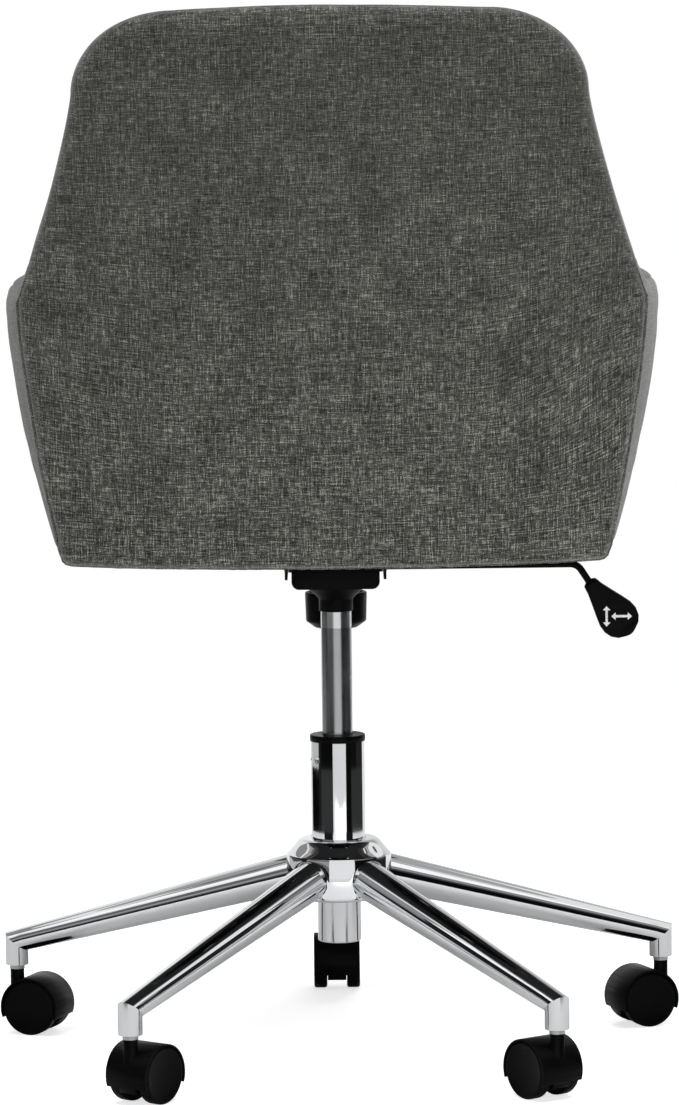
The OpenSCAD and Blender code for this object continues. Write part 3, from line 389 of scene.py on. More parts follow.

# %% [markdown]
# ## Hard pieces
# The rigid pieces come from the frame with flat facets. Turning on smooth shading would round
# every corner too, so the faces are smoothed only where they meet at a shallow angle. On the
# black pieces a narrow bevel then breaks each sharp edge: no moulded or pressed edge is truly
# sharp, and it is the bevel that catches the light.

# %% Smooth and finish the hard pieces
soft_edge = math.radians(28)
bevels = {"black_plastic": 0.0007, "black_metal": 0.0006, "nylon": 0.0005}
# Two nodes are finished otherwise than the rest of their slot.
special = {"lever_paddle": paddle_finish, "caster_sockets": socket_finish}

for part in record["subparts"]:
    piece = frame["nodes"][part["node"]]
    slot = part["material_slot"]
    mesh = piece.data
    mesh.materials.clear()
    mesh.materials.append(special.get(part["node"], finishes[slot]))
    weld = piece.modifiers.new("weld", "WELD")
    weld.merge_threshold = 1e-6
    mesh.polygons.foreach_set("use_smooth", [True] * len(mesh.polygons))
    if slot in bevels:
        bevel = piece.modifiers.new("bevel", "BEVEL")
        bevel.width = bevels[slot]
        bevel.segments = 2
        bevel.limit_method = "ANGLE"
        bevel.angle_limit = math.radians(35)
        bevel.harden_normals = True
    split = piece.modifiers.new("edges", "EDGE_SPLIT")
    split.split_angle = soft_edge
print("finished", len(record["subparts"]), "rigid pieces")

# %% [markdown]
# ## The lines of the upholstery
# The back, the arms and the seat share one set of lines, just as their foam is cut from one
# set of patterns: how wide the back is at each height, how it leans and wraps forward, how
# the arms stand out from it and where their upper edge runs. Each line is a short function of
# a height or a distance, so a piece can be made as fine as its cloth needs and still meet its
# neighbours.

# %% Pattern lines
foot_z, flare_z, top_z = 0.470, 0.703, 0.956
foot_half, flare_half, top_half = 0.2385, 0.273, 0.222
corner_wide, crown, sag = 0.088, 0.0035, 0.002
corner_z = 0.881
panel_thick, pad_thick = 0.008, 0.044
panel_gap, seam_gap, side_gap = 0.0006, 0.0003, 0.0008
back_y, lean, wrap = 0.262, 0.15, 0.040
arm_top, arm_wide, arm_foot_wide = 0.7225, 0.2955, 0.254
arm_thickness, arm_front = 0.054, 0.236
# The arms and the seat start inside the back, at tub_rear; the cushion's sides a little later.
tub_rear, wall_rear = -0.200, -0.170


def clamp(t):
    return np.clip(t, 0, 1)


def smooth(t):
    return clamp(t) ** 2 * (3 - 2 * clamp(t))


def mix(a, b, t):
    return a + (b - a) * t


def back_half(z):
    z = np.asarray(z, float)
    upper_rise = clamp((corner_z - z) / (corner_z - flare_z)) ** 1.2
    upper = top_half + (flare_half - top_half) * upper_rise
    lower_rise = 1 - (1 - clamp((z - foot_z) / (flare_z - foot_z))) ** 1.4
    return np.where(z > flare_z, upper, foot_half + (flare_half - foot_half) * lower_rise)


def rear_face(x, z):
    return -back_y - lean * (z - foot_z) + wrap * (x / flare_half) ** 2


def front_face(x, z):
    return rear_face(x, z) + panel_thick + panel_gap + pad_thick


def arm_outer(y, z):
    rise = clamp((z - foot_z) / (arm_top - arm_thickness / 2 - foot_z))
    wide = mix(arm_foot_wide, arm_wide, 1 - (1 - rise) ** 1.6)
    nip = 0.010 * clamp(y / arm_front) ** 2
    behind = back_y - panel_thick - pad_thick
    return mix(back_half(z), wide - nip, smooth((y + behind) / behind))


def arm_thick(z):
    return mix(arm_thickness - 0.014, arm_thickness, clamp((z - foot_z) / (arm_top - foot_z)))


def arm_crest(y):
    """The arm's upper edge sweeps down from the back, then dips towards the front."""
    sweep_y, low_y = -0.205, -0.120
    swept = 0.026 * (1 - smooth((y - sweep_y) / (low_y - sweep_y)))
    return arm_top + swept - 0.034 * clamp((y - low_y) / (arm_front - low_y)) ** 1.3


print("width over the arms:", 2 * arm_wide, "m; back height:", top_z - foot_z, "m")

# %% [markdown]
# ## From lines to cloth
# Cloth follows a grid far better than it follows a fan of triangles, because a woven fabric
# is a grid itself. So every cushion is laid out as rows and columns: a side line gives the
# ends of the rows, and a profile carries the outline from one face round the edge to the
# other. The corners of the grid then fall where a sewer would put the corners of the pattern.

# %% Grid helpers
def even_steps(line, step):
    line = np.asarray(line, float)
    run = np.concatenate([[0], np.cumsum(np.hypot(*np.diff(line, axis=0).T))])
    at = np.linspace(0, run[-1], max(2, round(run[-1] / step)) + 1)
    return np.stack([np.interp(at, run, line[:, k]) for k in (0, 1)], axis=1)


def turn(centre, radius, start, end, steps=24):
    angles = np.radians(np.linspace(start, end, steps + 1))
    return [(centre[0] + radius * math.cos(a), centre[1] + radius * math.sin(a)) for a in angles]


def outward(line):
    along = np.gradient(line, axis=0)
    along /= np.hypot(along[:, 0], along[:, 1])[:, None]
    return np.stack([along[:, 1], -along[:, 0]], axis=1)


def make_mesh(name, points, faces, finish):
    mesh = bpy.data.meshes.new(name)
    mesh.from_pydata(np.asarray(points, float).tolist(), [], faces)
    mesh.validate()
    mesh.update()
    mesh.polygons.foreach_set("use_smooth", [True] * len(mesh.polygons))
    mesh.materials.append(finish)
    return put(name, mesh)


def read(items, name, width=1, kind=float):
    """Reads one number, or a row of them, for every vertex, corner or face."""
    values = np.empty(len(items) * width, kind)
    items.foreach_get(name, values)
    return values.reshape(-1, width) if width > 1 else values


def grid_faces(rows, columns, start=0, flip=False):
    faces = []
    for i in range(rows - 1):
        for j in range(columns - 1):
            a = start + i * columns + j
            quad = (a, a + 1, a + columns + 1, a + columns)
            faces.append(quad[::-1] if flip else quad)
    return faces


def stuffed(name, side, low_bow, high_bow, profile, lay, finish, step=0.006):
    """A closed padded piece. side runs up its right-hand side, the bows bend its low and its
    high edge, and profile gives (inset, level) from one face round the edge to the other."""
    normal = outward(side)
    columns = round(2 * side[:, 0].max() / step) + 1
    u = np.linspace(-1, 1, columns)
    rows = len(side)
    height = (side[:, 1] - side[0, 1]) / (side[-1, 1] - side[0, 1])

    def plan(inset):
        inner = side - normal * np.reshape(inset(side) * np.ones(rows), (-1, 1))
        up = height[:, None]
        bowed = inner[:, 1:] + low_bow(u) * (1 - up) ** 4 + high_bow(u) * up ** 4
        return inner[:, :1] * u, bowed

    def rim(grid):
        return np.concatenate([grid[0], grid[1:, -1], grid[-1, -2::-1], grid[-2:0:-1, 0]])

    points, loops = [], []
    ids = np.arange(rows * columns).reshape(rows, columns)
    for k, (inset, level) in enumerate(profile):
        placed = np.stack(lay(*plan(inset), level), axis=-1)
        start = sum(len(p) for p in points)
        if k in (0, len(profile) - 1):
            loops.append(rim(ids) + start)
            points.append(placed.reshape(-1, 3))
        else:
            ring = np.stack([rim(placed[..., n]) for n in range(3)], axis=-1)
            loops.append(np.arange(len(ring)) + start)
            points.append(ring)
    faces = grid_faces(rows, columns) + grid_faces(rows, columns, start, flip=True)
    for one, two in zip(loops, loops[1:]):
        n = len(one)
        faces += [(one[(i + 1) % n], one[i], two[i], two[(i + 1) % n]) for i in range(n)]
    made = make_mesh(name, np.concatenate(points), [tuple(map(int, f)) for f in faces], finish)
    print(name, "has", len(made.data.polygons), "faces")
    return made


print("grid helpers ready")

# %% [markdown]
# ## A weave map in metres
# The weave needs to know where its threads run. Each face looks straight down the axis that
# it faces most, as if the cloth were laid over a box, and the changes fall on the edges, where
# the real cover has its seams. On the outer back the cloth was pulled over the flare of the
# arms, so there the weft climbs towards the sides.

# %% The weave map
def lay_weave(piece, pull=None):
    mesh = piece.data
    at = read(mesh.vertices, "co", 3)[read(mesh.loops, "vertex_index", kind=int)]
    # A face that looks to the front or the rear wins a close call.
    facing = np.argmax(np.abs(read(mesh.polygons, "normal", 3)) * (1.0, 1.05, 1.0), axis=1)
    facing = np.repeat(facing, read(mesh.polygons, "loop_total", kind=int))
    u = np.where(facing == 0, at[:, 1], at[:, 0])
    v = np.where(facing == 2, at[:, 1], at[:, 2])
    if pull:
        v = v + pull(at[:, 0], at[:, 2])
    layer = mesh.uv_layers.new(name="weave")
    layer.data.foreach_set("uv", np.stack([u, v], axis=1).ravel())


print("weave map ready")

# %% [markdown]
# ## Inflating a cushion
# Foam under a sewn cover pushes the cloth out until the seams hold it. A cloth simulation with
# a little pressure inside does the same: the points near the seams are pinned, the rest swell
# for a few frames, and the result is kept as the mesh. The movement is capped, so that a
# cushion stays in the space that it has.

# %% Inflate
def inflate(piece, free, cap, pressure=4.0, frames=16):
    """Swells the part of a piece that free marks with 1, and pins it where free is 0."""
    mesh = piece.data
    start = read(mesh.vertices, "co", 3)
    pins = piece.vertex_groups.new(name="pins")
    for index, weight in enumerate(1 - free(start)):
        if weight > 0:
            pins.add([index], float(weight), "REPLACE")
    cloth = piece.modifiers.new("cloth", "CLOTH")
    linen_like = {"quality": 6, "mass": 0.35, "tension_stiffness": 12,
                  "compression_stiffness": 12, "shear_stiffness": 4, "bending_stiffness": 0.6,
                  "use_pressure": True, "uniform_pressure_force": pressure,
                  "vertex_group_mass": "pins"}
    for setting, value in linen_like.items():
        setattr(cloth.settings, setting, value)
    cloth.settings.effector_weights.gravity = 0
    cloth.collision_settings.use_collision = False
    cloth.point_cache.frame_start = 1
    cloth.point_cache.frame_end = frames
    scene = bpy.context.scene
    for frame_number in range(1, frames + 1):
        scene.frame_set(frame_number)
    seen = piece.evaluated_get(bpy.context.evaluated_depsgraph_get())
    shift = read(seen.data.vertices, "co", 3) - start
    length = np.linalg.norm(shift, axis=1, keepdims=True)
    shift *= cap * np.tanh(length / cap) / np.maximum(length, 1e-9)
    piece.modifiers.remove(cloth)
    piece.vertex_groups.remove(pins)
    scene.frame_set(1)
    mesh.vertices.foreach_set("co", (start + shift).ravel())
    mesh.update()
    most = np.linalg.norm(shift, axis=1).max() * 1000
    print(piece.name, "swelled by up to", round(float(most), 1), "mm")


print("ready to inflate")

# %% [markdown]
# ## Slack in the cloth
# Even a tight cover isn't a perfect surface. Waves of many lengths, a few tenths of a
# millimetre deep, stand for the foam's own unevenness. They could be a bump in the finish, but
# moved points also show in the outline. The waves run through space and not along one piece,
# so neighbouring pieces rise and fall together.

# %% Slack
rng = np.random.default_rng(7)
wave_count = 26
wave_vectors = rng.normal(size=(wave_count, 3))
wave_vectors /= np.linalg.norm(wave_vectors, axis=1, keepdims=True)
wave_lengths = rng.uniform(0.045, 0.16, wave_count)
wave_phases = rng.uniform(0, 2 * math.pi, wave_count)


def unevenness(points):
    angle = points @ (wave_vectors / wave_lengths[:, None]).T * 2 * math.pi + wave_phases
    return np.sin(angle).sum(axis=1) / math.sqrt(wave_count)


def slacken(piece, depth):
    mesh = piece.data
    points = read(mesh.vertices, "co", 3)
    amount = depth * unevenness(points)[:, None]
    mesh.vertices.foreach_set("co", (points + read(mesh.vertices, "normal", 3) * amount).ravel())
    mesh.update()


shortest, longest = wave_lengths.min() * 100, wave_lengths.max() * 100
print("waves from", round(shortest, 1), "to", round(longest, 1), "cm")

# %% [markdown]
# ## The back
# The back has two pieces: a thick inner pad that one leans on, and a thin outer panel that
# closes the shell behind it. Both are cut to one outline. It starts at a small lower corner,
# flares to the arms, draws in again and ends in a wide round corner. It could be drawn by hand
# as a curve, but made of the pattern lines it stays true to the arms that join it.

# %% Back outline
foot_turn = 0.010
foot_centre = (foot_half + 0.002 - foot_turn, foot_z + foot_turn)
heights = np.linspace(foot_z + 0.0075, corner_z - 0.001, 160)
back_side = even_steps(
    turn(foot_centre, foot_turn, -90, -22, 10)
    + list(zip(back_half(heights), heights))
    + [(top_half - corner_wide * (1 - x), corner_z + (top_z - crown - corner_z) * z)
       for x, z in turn((0, 0), 1.0, 0, 90, 30)],
    0.005)


def low_bow(u):
    return -sag * (1 - u ** 4)


def high_bow(u):
    return crown * (1 - u ** 2)


def joined(side):
    low = mix(0.72, 1, smooth((side[:, 1] - foot_z - 0.002) / 0.010))
    return low * smooth((arm_top + 0.020 - side[:, 1]) / 0.040)


print("side of the back in", len(back_side), "steps")

# %% [markdown]
# ## The back pad
# The pad is a block of foam with a rolled edge. Where an arm joins, its edge is square,
# because the foam is glued flat to the arm. A bevel could round every edge alike, so the rings
# of the edge are placed one by one instead, and each is drawn in less where an arm is.

# %% Back pad
roll = pad_thick / 2 - 0.001
seat_top = 0.590


def rolled_edge(radius, half, steps):
    rings = []
    for a in np.radians(np.linspace(0, 180, steps)):
        def inset(side, a=a):
            return radius * (1 - math.sin(a)) * (1 - joined(side))
        rings.append((inset, -half * math.cos(a)))
    return rings


def sew_in(piece, node, pull=None):
    """Maps the weave, hangs the piece on the seat that it rides on, and hides the part it stands
    in for.
    """
    lay_weave(piece, pull)
    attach(piece, "seat")
    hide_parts(node)


def lay_pad(a, b, level):
    middle = panel_thick + panel_gap + pad_thick / 2
    return a, rear_face(a, b) + middle + level, b


back_pad = stuffed("back_pad_cover", back_side, low_bow, high_bow,
                   rolled_edge(roll, pad_thick / 2, 13), lay_pad, fabric)


def leaned_on(points):
    """The pad swells on its front face, above the seat and away from its edge."""
    x, y, z = points.T
    off_front = y - rear_face(x, z) < panel_thick + pad_thick * 0.92
    border = np.minimum((top_z - z) * 18, (1 - np.abs(x) / back_half(z)) * 7)
    return np.where(off_front, 0, smooth(border) * smooth((z - seat_top) / 0.04))


inflate(back_pad, leaned_on, 0.007)
slacken(back_pad, 0.0003)
sew_in(back_pad, "back_pad")

# %% [markdown]
# ## The outer panel
# The outer panel closes the shell. Its cloth is stretched over a hard board. Above the arms it
# rolls on forward in a soft curve and laps over the pad's own roll, so from behind the back
# looks like one piece. Beside the arms and at the foot it turns in tightly, which leaves a thin
# dark line there. One function says how far it laps at each height, and the rings follow it.

# %% Outer panel
wide_roll, tight_roll, lip, lap = 0.020, 0.007, 0.001, 0.011


def lapped(z):
    return smooth((z - arm_top + 0.012) / 0.040)


def pad_inset(depth):
    return roll * (1 - math.sqrt(1 - (1 - depth / (pad_thick / 2)) ** 2))


def panel_rings(steps=11):
    rings = []
    for a in np.radians(np.linspace(90, 0, steps)):
        def outside(side, a=a):
            return lip + mix(tight_roll, wide_roll, lapped(side[:, 1])) * (1 - math.cos(a))
        rings.append((outside, -panel_thick / 2 + (panel_thick + lap - lip) * (1 - math.sin(a))))
    for depth in np.linspace(lap, 0, 7):
        def inside(side, depth=depth):
            over_pad = pad_inset(depth) - 0.0006
            return mix(min(over_pad, tight_roll), over_pad, lapped(side[:, 1]))
        rings.append((inside, panel_thick / 2 + depth))
    return rings


def lay_panel(a, b, level):
    over = max(0.0, level - panel_thick / 2)
    return a, rear_face(a, b) + panel_thick / 2 + level - over * (1 - lapped(b)), b


back_panel = stuffed("back_panel_cover", back_side, low_bow, high_bow, panel_rings(),
                     lay_panel, fabric, step=0.004)


def weft_pull(x, z):
    """How far the weft climbs: most beside the arms, where the cloth is pulled over the flare."""
    beside = smooth((np.abs(x) - 0.08) / 0.20)
    at_arm = np.exp(-((z - 0.640) / 0.110) ** 2)
    return -0.30 * beside * at_arm * (np.abs(x) - 0.08) * np.where(x > 0, 1.0, 0.35)


slacken(back_panel, 0.00035)
sew_in(back_panel, "back_panel", pull=weft_pull)

# %% [markdown]
# ## The arms
# Each arm is one long pad that grows out of the back, runs forward and ends in a rounded
# nose. Its section leans outwards and has a round top, and its crest dips towards the
# front. It could be bent from a straight pad, but then its section would shear. So it is
# lofted: the same section is placed at many stations, a little changed each time. A seam runs
# along the outer edge of the top, drawn in by a thread.

# %% Arm sections
seam_angle, seam_depth, seam_width = 38, 0.0013, 0.0017
arc_angles = np.linspace(4, 176, 64)
wall_shares = np.linspace(0, 1, 34)


def arm_section(share, inset, y_end):
    """One section, at a share of the way from the back to y_end, drawn in by an inset."""
    crest = arm_crest(mix(tub_rear, y_end, share)) - inset
    foot = foot_z + inset
    spring = crest - arm_thickness / 2 + 0.001
    walls = mix(foot + 0.005, spring, wall_shares)
    from_seam = np.radians(arc_angles - seam_angle) * arm_thickness / 2
    sewn = seam_depth * np.exp(-(from_seam / seam_width) ** 2)
    shrink = 1 - sewn / (arm_thickness / 2)
    over = np.radians(arc_angles)
    across = np.concatenate([[0.8], np.ones(len(walls)), np.cos(over) * shrink,
                             -np.ones(len(walls)), [-0.8]])
    z = np.concatenate([[foot], walls, spring + (crest - spring) * np.sin(over) * shrink,
                        walls[::-1], [foot]])
    low = np.minimum(z, spring)
    half = arm_thick(low) / 2 - inset
    offset = half * (across - 1) - inset
    rear = front_face(arm_outer(tub_rear, low) + offset, z) + 3 * seam_gap
    y = mix(rear, y_end, share)
    return np.stack([arm_outer(y, low) + offset, y, z], axis=1)


def make_arm(name, side):
    nose = arm_thickness / 2 - 0.005
    straight = arm_front - nose
    stations = [arm_section(share, 0, straight) for share in np.linspace(0, 1, 74)]
    for a in np.radians([10, 20, 30, 40, 50, 60, 68, 75, 81, 86]):
        stations.append(arm_section(1, nose * (1 - math.cos(a)), straight + nose * math.sin(a)))
    rows, columns = len(stations), len(stations[0])
    points = np.concatenate(stations) * (side, 1, 1)
    faces = grid_faces(rows, columns, flip=side > 0)
    under = [(i * columns, (i + 1) * columns, (i + 2) * columns - 1, (i + 1) * columns - 1)
             for i in range(rows - 1)]
    faces += under if side < 0 else [f[::-1] for f in under]
    for start, turned_over in ((0, side < 0), ((rows - 1) * columns, side > 0)):
        for k in range(columns // 2 - 1):
            quad = (start + k, start + k + 1, start + columns - 2 - k, start + columns - 1 - k)
            faces.append(quad if turned_over else quad[::-1])
    return make_mesh(name, points, faces, fabric)


def arm_swell(points):
    """An arm swells on its outside, and on its inside above the seat."""
    x, y, z = np.abs(points[:, 0]), points[:, 1], points[:, 2]
    ends = smooth((y - wall_rear) / 0.06) * smooth((arm_front + 0.002 - y) / 0.02)
    return ends * smooth((z - foot_z - 0.02) / 0.06) * np.where(
        x > arm_outer(y, z) - arm_thickness / 2, 1, smooth((z - seat_top) / 0.03))


for side, label in ((-1, "left"), (1, "right")):
    arm = make_arm(f"arm_cover_{label}", side)
    inflate(arm, arm_swell, 0.0025, pressure=2.0)
    slacken(arm, 0.0003)
    sew_in(arm, f"arm_{label}")

# %% [markdown]
# ## The seat
# The seat cushion fills the tub: its sides follow the arms, its rear edge follows the back, and
# its front corners are round. It is a boxed cushion, with a top, a bottom and a strip between
# them, so a seam runs round its upper edge. A rounded box would leave wedges of air beside the
# arms, which lean outwards, so each level of the cushion is spread to the room that it has.
# Only its top and its front are free to swell.

# %% Seat cushion
board_top = 0.478
deck_low, deck_thick = board_top + seam_gap, 0.024
cushion_low, cushion_thick = deck_low + deck_thick + seam_gap, 0.072
cushion_front, cushion_crown, round_front = 0.262, 0.009, 0.034


def room(y, z):
    """Half the width between the arms."""
    return arm_outer(np.maximum(y, tub_rear), z) - arm_thick(z) - side_gap


def even_rings(steps):
    """Rings whose inset is the same all the way round."""
    return [(lambda side, inset=inset: inset, level) for inset, level in steps]


def seat_side(level, front, step):
    rear_half = float(room(wall_rear, level)) - 0.016
    corner = front - round_front
    walls = [(float(room(y, level)), y) for y in np.linspace(wall_rear, corner, 60)]
    line = [(rear_half, float(front_face(rear_half, level)) + 0.0006)] + walls
    line += turn((float(room(corner, level)) - round_front, corner), round_front, 6, 90, 20)
    return even_steps(line, step), rear_half


def sewn_edge(thick, top_radius, foot_radius, seam):
    """The profile of a boxed edge, from its top down. The thread draws in a seam halfway."""
    rings = []
    for a in np.radians([0, 14, 28, 38, 43, 46, 49, 54, 64, 76, 90]):
        d = seam * math.exp(-((math.degrees(a) - 46) / 3.2) ** 2)
        rings.append((top_radius * (1 - math.sin(a)) + d * math.sin(a),
                      thick - top_radius * (1 - math.cos(a)) - d * math.cos(a)))
    for share in (0.25, 0.5, 0.75):
        rings.append((0.0, mix(thick - top_radius, foot_radius, share)))
    for a in np.radians([0, 18, 36, 54, 72, 90]):
        rings.append((foot_radius * (1 - math.cos(a)), foot_radius * (1 - math.sin(a))))
    return even_rings(rings)


def make_slab(name, low, thick, front, step, crown=0.0, top_radius=0.003, foot_radius=0.003,
              seam=0.0):
    side, rear_half = seat_side(low, front, step)
    middle, reach = (front + tub_rear) / 2, (front - tub_rear) / 2

    def lay(a, b, level):
        bulge = clamp(1 - (a / 0.22) ** 2) * clamp(1 - ((b - middle) / reach) ** 2)
        spread = room(b, low + level) / room(b, low)
        return a * spread, b, low + level + crown * bulge * smooth(level / thick * 3 - 2)

    def rear_bow(u):
        return wrap * (rear_half / flare_half) ** 2 * (u ** 2 - 1)

    return stuffed(name, side, rear_bow, lambda u: 0.002 * (1 - u ** 2),
                   sewn_edge(thick, top_radius, foot_radius, seam), lay, fabric, step)


seat_cushion = make_slab("seat_cushion_cover", cushion_low, cushion_thick, cushion_front, 0.006,
                         cushion_crown, top_radius=0.024, foot_radius=0.008, seam=0.0016)


def sat_on(points):
    """The cushion swells on its top and its front, away from the arms and the seams."""
    x, y, z = points.T
    top = smooth((z - cushion_low - cushion_thick + 0.010) / 0.012)
    border = smooth((0.205 - np.abs(x)) / 0.05) * smooth((y + 0.205) / 0.05)
    front = smooth((y - cushion_front + 0.006) / 0.004) * smooth((0.160 - np.abs(x)) / 0.05)
    return np.maximum(top * border, front * smooth((z - cushion_low - 0.012) / 0.01))


inflate(seat_cushion, sat_on, 0.008)
slacken(seat_cushion, 0.0004)
sew_in(seat_cushion, "seat_cushion")

# %% [markdown]
# ## Under the cushion
# A thin pad evens out the seat board under the cushion, and a padded rail closes the tub
# between the front ends of the arms. The pad is the same kind of slab, only flatter. The rail
# stands on end, so its outline is drawn as seen from the front, and its ends lean with the
# arms that it meets.

# %% Deck pad and front rail
deck_front = cushion_front - 0.024
deck = make_slab("deck_pad_cover", deck_low, deck_thick, deck_front, 0.012)
sew_in(deck, "deck_pad")

rail_low, rail_high = foot_z, cushion_low - seam_gap
rail_rear, rail_thick, rail_round = deck_front + seam_gap, 0.0198, 0.006
rail_reach = 0.002


def rail_end(z):
    """Half the rail's length: its ends reach a little way into the arms' foam."""
    return float(arm_outer(cushion_front - 0.030, z) - arm_thick(z)) + rail_reach


rail_half = rail_end(foot_z)
rail_side = even_steps([(rail_end(z), z) for z in np.linspace(rail_low, rail_high, 12)], 0.003)
rail_steps = [(0.001, 0.0), (0.0, 0.001), (0.0, rail_thick - rail_round)]
rail_steps += [(rail_round * (1 - math.cos(a)), rail_thick - rail_round * (1 - math.sin(a)))
               for a in np.radians([18, 36, 54, 72, 90])]


def lay_rail(a, b, level):
    belly = 0.0025 * clamp(1 - (a / rail_half) ** 4) * smooth(level / rail_thick * 4 - 3)
    return a, rail_rear + level + belly, b


def flat(u):
    return 0 * u


rail = stuffed("front_rail_cover", rail_side, flat, flat, even_rings(rail_steps), lay_rail,
               fabric)
slacken(rail, 0.0003)
sew_in(rail, "front_rail")

# %% [markdown]
# ## The dust cover
# Under the seat board a black liner hides the foam and the webbing. It is one flat sheet,
# pulled tight and stapled near its edge, with a window round the tension bolt. A cloth
# simulation would have nothing to do on a tight sheet, so it is laid out flat as a grid, and
# the faces inside the window are left out.

# %% Dust cover
liner_low, liner_thick = 0.465, 0.001
liner_half, liner_front = 0.1955, 0.235
front_round, rear_round = 0.040, 0.080
window_half, window_rear, window_front = 0.016, 0.0775, 0.1075
board_half = liner_half + 0.003
liner_clear = 0.0036
liner_rear = float(front_face(board_half - 2 * front_round, foot_z - sag)) + liner_clear


def liner_outline():
    right = turn((liner_half - rear_round, liner_rear + rear_round), rear_round, -90, 0, 16)
    right += turn((liner_half - front_round, liner_front - front_round), front_round, 0, 90, 12)
    return even_steps(right, 0.008)


def liner_grid(side):
    u = np.linspace(-1, 1, 49)
    points = [(x * t, y) for x, y in side for t in u]
    faces = []
    for face in grid_faces(len(side), len(u)):
        x, y = np.mean([points[i] for i in face], axis=0)
        if not (abs(x) < window_half and window_rear < y < window_front):
            faces.append(face[::-1])
    return points, faces


flat_points, flat_faces = liner_grid(liner_outline())
liner_points = [(x, y, liner_low + liner_thick * 0.6) for x, y in flat_points]
dust_cover = make_mesh("dust_cover_cloth", liner_points, flat_faces, finishes["dust_cloth"])
solid = dust_cover.modifiers.new("cloth thickness", "SOLIDIFY")
solid.thickness = 0.0004
solid.offset = 0
lay_weave(dust_cover)
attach(dust_cover, "seat")
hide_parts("dust_cover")

# %% [markdown]
# ## The tension spring
# The spring sits round the bolt, between the knob and the housing. When the seat reclines, the
# knob comes up and the coils close. A coil is a tube swept along a helix. A curve with a round
# section would make it too, but points placed one by one let the end turns lie flat, as on a
# ground spring.

# %% Tension spring
spring_low, spring_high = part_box("tension_spring")
wire = 0.0022
coil_radius = (spring_high.x - spring_low.x) / 2 - wire
bolt_y = 0.090
coil_centre = ((spring_high.x + spring_low.x) / 2, bolt_y)
turns, steps_per_turn, sides = 5, 40, 12
flat_turn = 0.4

coil_points, coil_faces = [], []
coil_steps = turns * steps_per_turn
for j in range(coil_steps + 1):
    share = j / coil_steps
    turned_by = 2 * math.pi * turns * share
    rise = float(smooth((share * turns - flat_turn) / (turns - 2 * flat_turn)))
    out = np.array([math.cos(turned_by), math.sin(turned_by), 0.0])
    centre = coil_radius * out + (coil_centre[0], coil_centre[1],
                                  mix(spring_low.z + wire, spring_high.z - wire, rise))
    for k in range(sides):
        a = 2 * math.pi * k / sides
        coil_points.append(centre + wire * (math.cos(a) * out + (0, 0, math.sin(a))))
for j in range(coil_steps):
    for k in range(sides):
        a, b = j * sides + k, j * sides + (k + 1) % sides
        coil_faces.append((a, a + sides, b + sides, b))
last_ring = coil_steps * sides
coil_faces.append(tuple(range(sides)))
coil_faces.append(tuple(reversed(range(last_ring, last_ring + sides))))
spring = make_mesh("tension_spring_coil", coil_points, coil_faces, finishes["steel"])
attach(spring, "mechanism")
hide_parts("tension_spring")
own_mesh(spring)

# %% [markdown]
# ## The outer tube of the lift
# A mirror shows every flaw of its mesh. The tube has four crimps near its top, and from coarse
# facets they would throw long streaks down it. So the tube is turned anew, like wood on a
# lathe: its section runs round the axis in fine steps, and each crimp is pressed into that.

# %% Turned tube
crimp_angles, crimp_z = (10, 40, 190, 220), 0.268
crimp_depth, crimp_radius = 0.0011, 0.00275


def turned(name, section, finish, steps=240):
    """Turns a closed section of (radius, height) round the upright axis, then crimps it."""
    round_by = np.linspace(0, 2 * math.pi, steps, endpoint=False)
    radius, z = [np.repeat(np.array(side)[:, None], steps, axis=1) for side in zip(*section)]
    outside = radius >= max(r for r, _ in section) - 1e-6
    for angle in np.radians(crimp_angles):
        apart = np.angle(np.exp(1j * (round_by - angle)))
        off = np.hypot(radius * apart, z - crimp_z) / crimp_radius
        radius = radius - outside * crimp_depth * clamp(1 - off ** 2)
    points = np.stack([radius * np.cos(round_by), radius * np.sin(round_by), z], axis=-1)
    rows = len(section)
    faces = [(i * steps + k, i * steps + (k + 1) % steps,
              (i + 1) % rows * steps + (k + 1) % steps, (i + 1) % rows * steps + k)
             for i in range(rows) for k in range(steps)]
    made = make_mesh(name, points.reshape(-1, 3), faces, finish)
    made.modifiers.new("edges", "EDGE_SPLIT").split_angle = soft_edge
    return made


tube_top = 0.284
fine_rows = list(np.arange(0.2645, 0.2716, 0.0005))
wall_rows = [0.194, 0.215, 0.240, 0.258] + fine_rows + [0.276, tube_top]
outside_wall = [(0.0041, 0.104), (0.0165, 0.104), (0.0205, 0.187)]
outside_wall += [(0.025, z) for z in wall_rows]
inside_wall = [(0.023, tube_top), (0.023, 0.195), (0.0185, 0.187), (0.0145, 0.108),
               (0.0041, 0.108)]
tube = turned("column_tube_turned", outside_wall + inside_wall, finishes["chrome"])
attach(tube, "base")
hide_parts("column_tube")
print("tube:", len(tube.data.polygons), "faces")

# %% [markdown]
# ## Floor and background
# The chair stands on a plain pale floor, as in a catalogue. A big backdrop would have to be
# lit by itself, so the floor fades to white with distance instead, and no horizon shows. What
# is seen straight or in a mirror gets that white, and what only sends light gets less of it,
# so that the floor and the background don't wash out the cloth.

# %% Floor and background
floor_glow = 0.66
floor_reach = 12.0
ambient = 0.08


def backdrop(name, points, faces, build):
    mesh = bpy.data.meshes.new(name)
    mesh.from_pydata(points, [], faces)
    made = put(name, mesh)
    finish = bpy.data.materials.new(name)
    finish.use_nodes = True
    finish.node_tree.nodes.clear()
    output = finish.node_tree.nodes.new("ShaderNodeOutputMaterial")
    finish.node_tree.links.new(build(finish.node_tree), output.inputs["Surface"])
    mesh.materials.append(finish)
    return made


def square(reach, z):
    return [(x * reach, y * reach, z) for x, y in ((-1, -1), (1, -1), (1, 1), (-1, 1))]


def seen_directly(tree):
    """1 where the ray comes straight from the camera, from a mirror or through glass."""
    path = add(tree, "LightPath").node.outputs
    return sums(tree, "MAXIMUM", path["Is Camera Ray"],
                sums(tree, "MAXIMUM", path["Is Glossy Ray"], path["Is Transmission Ray"]))


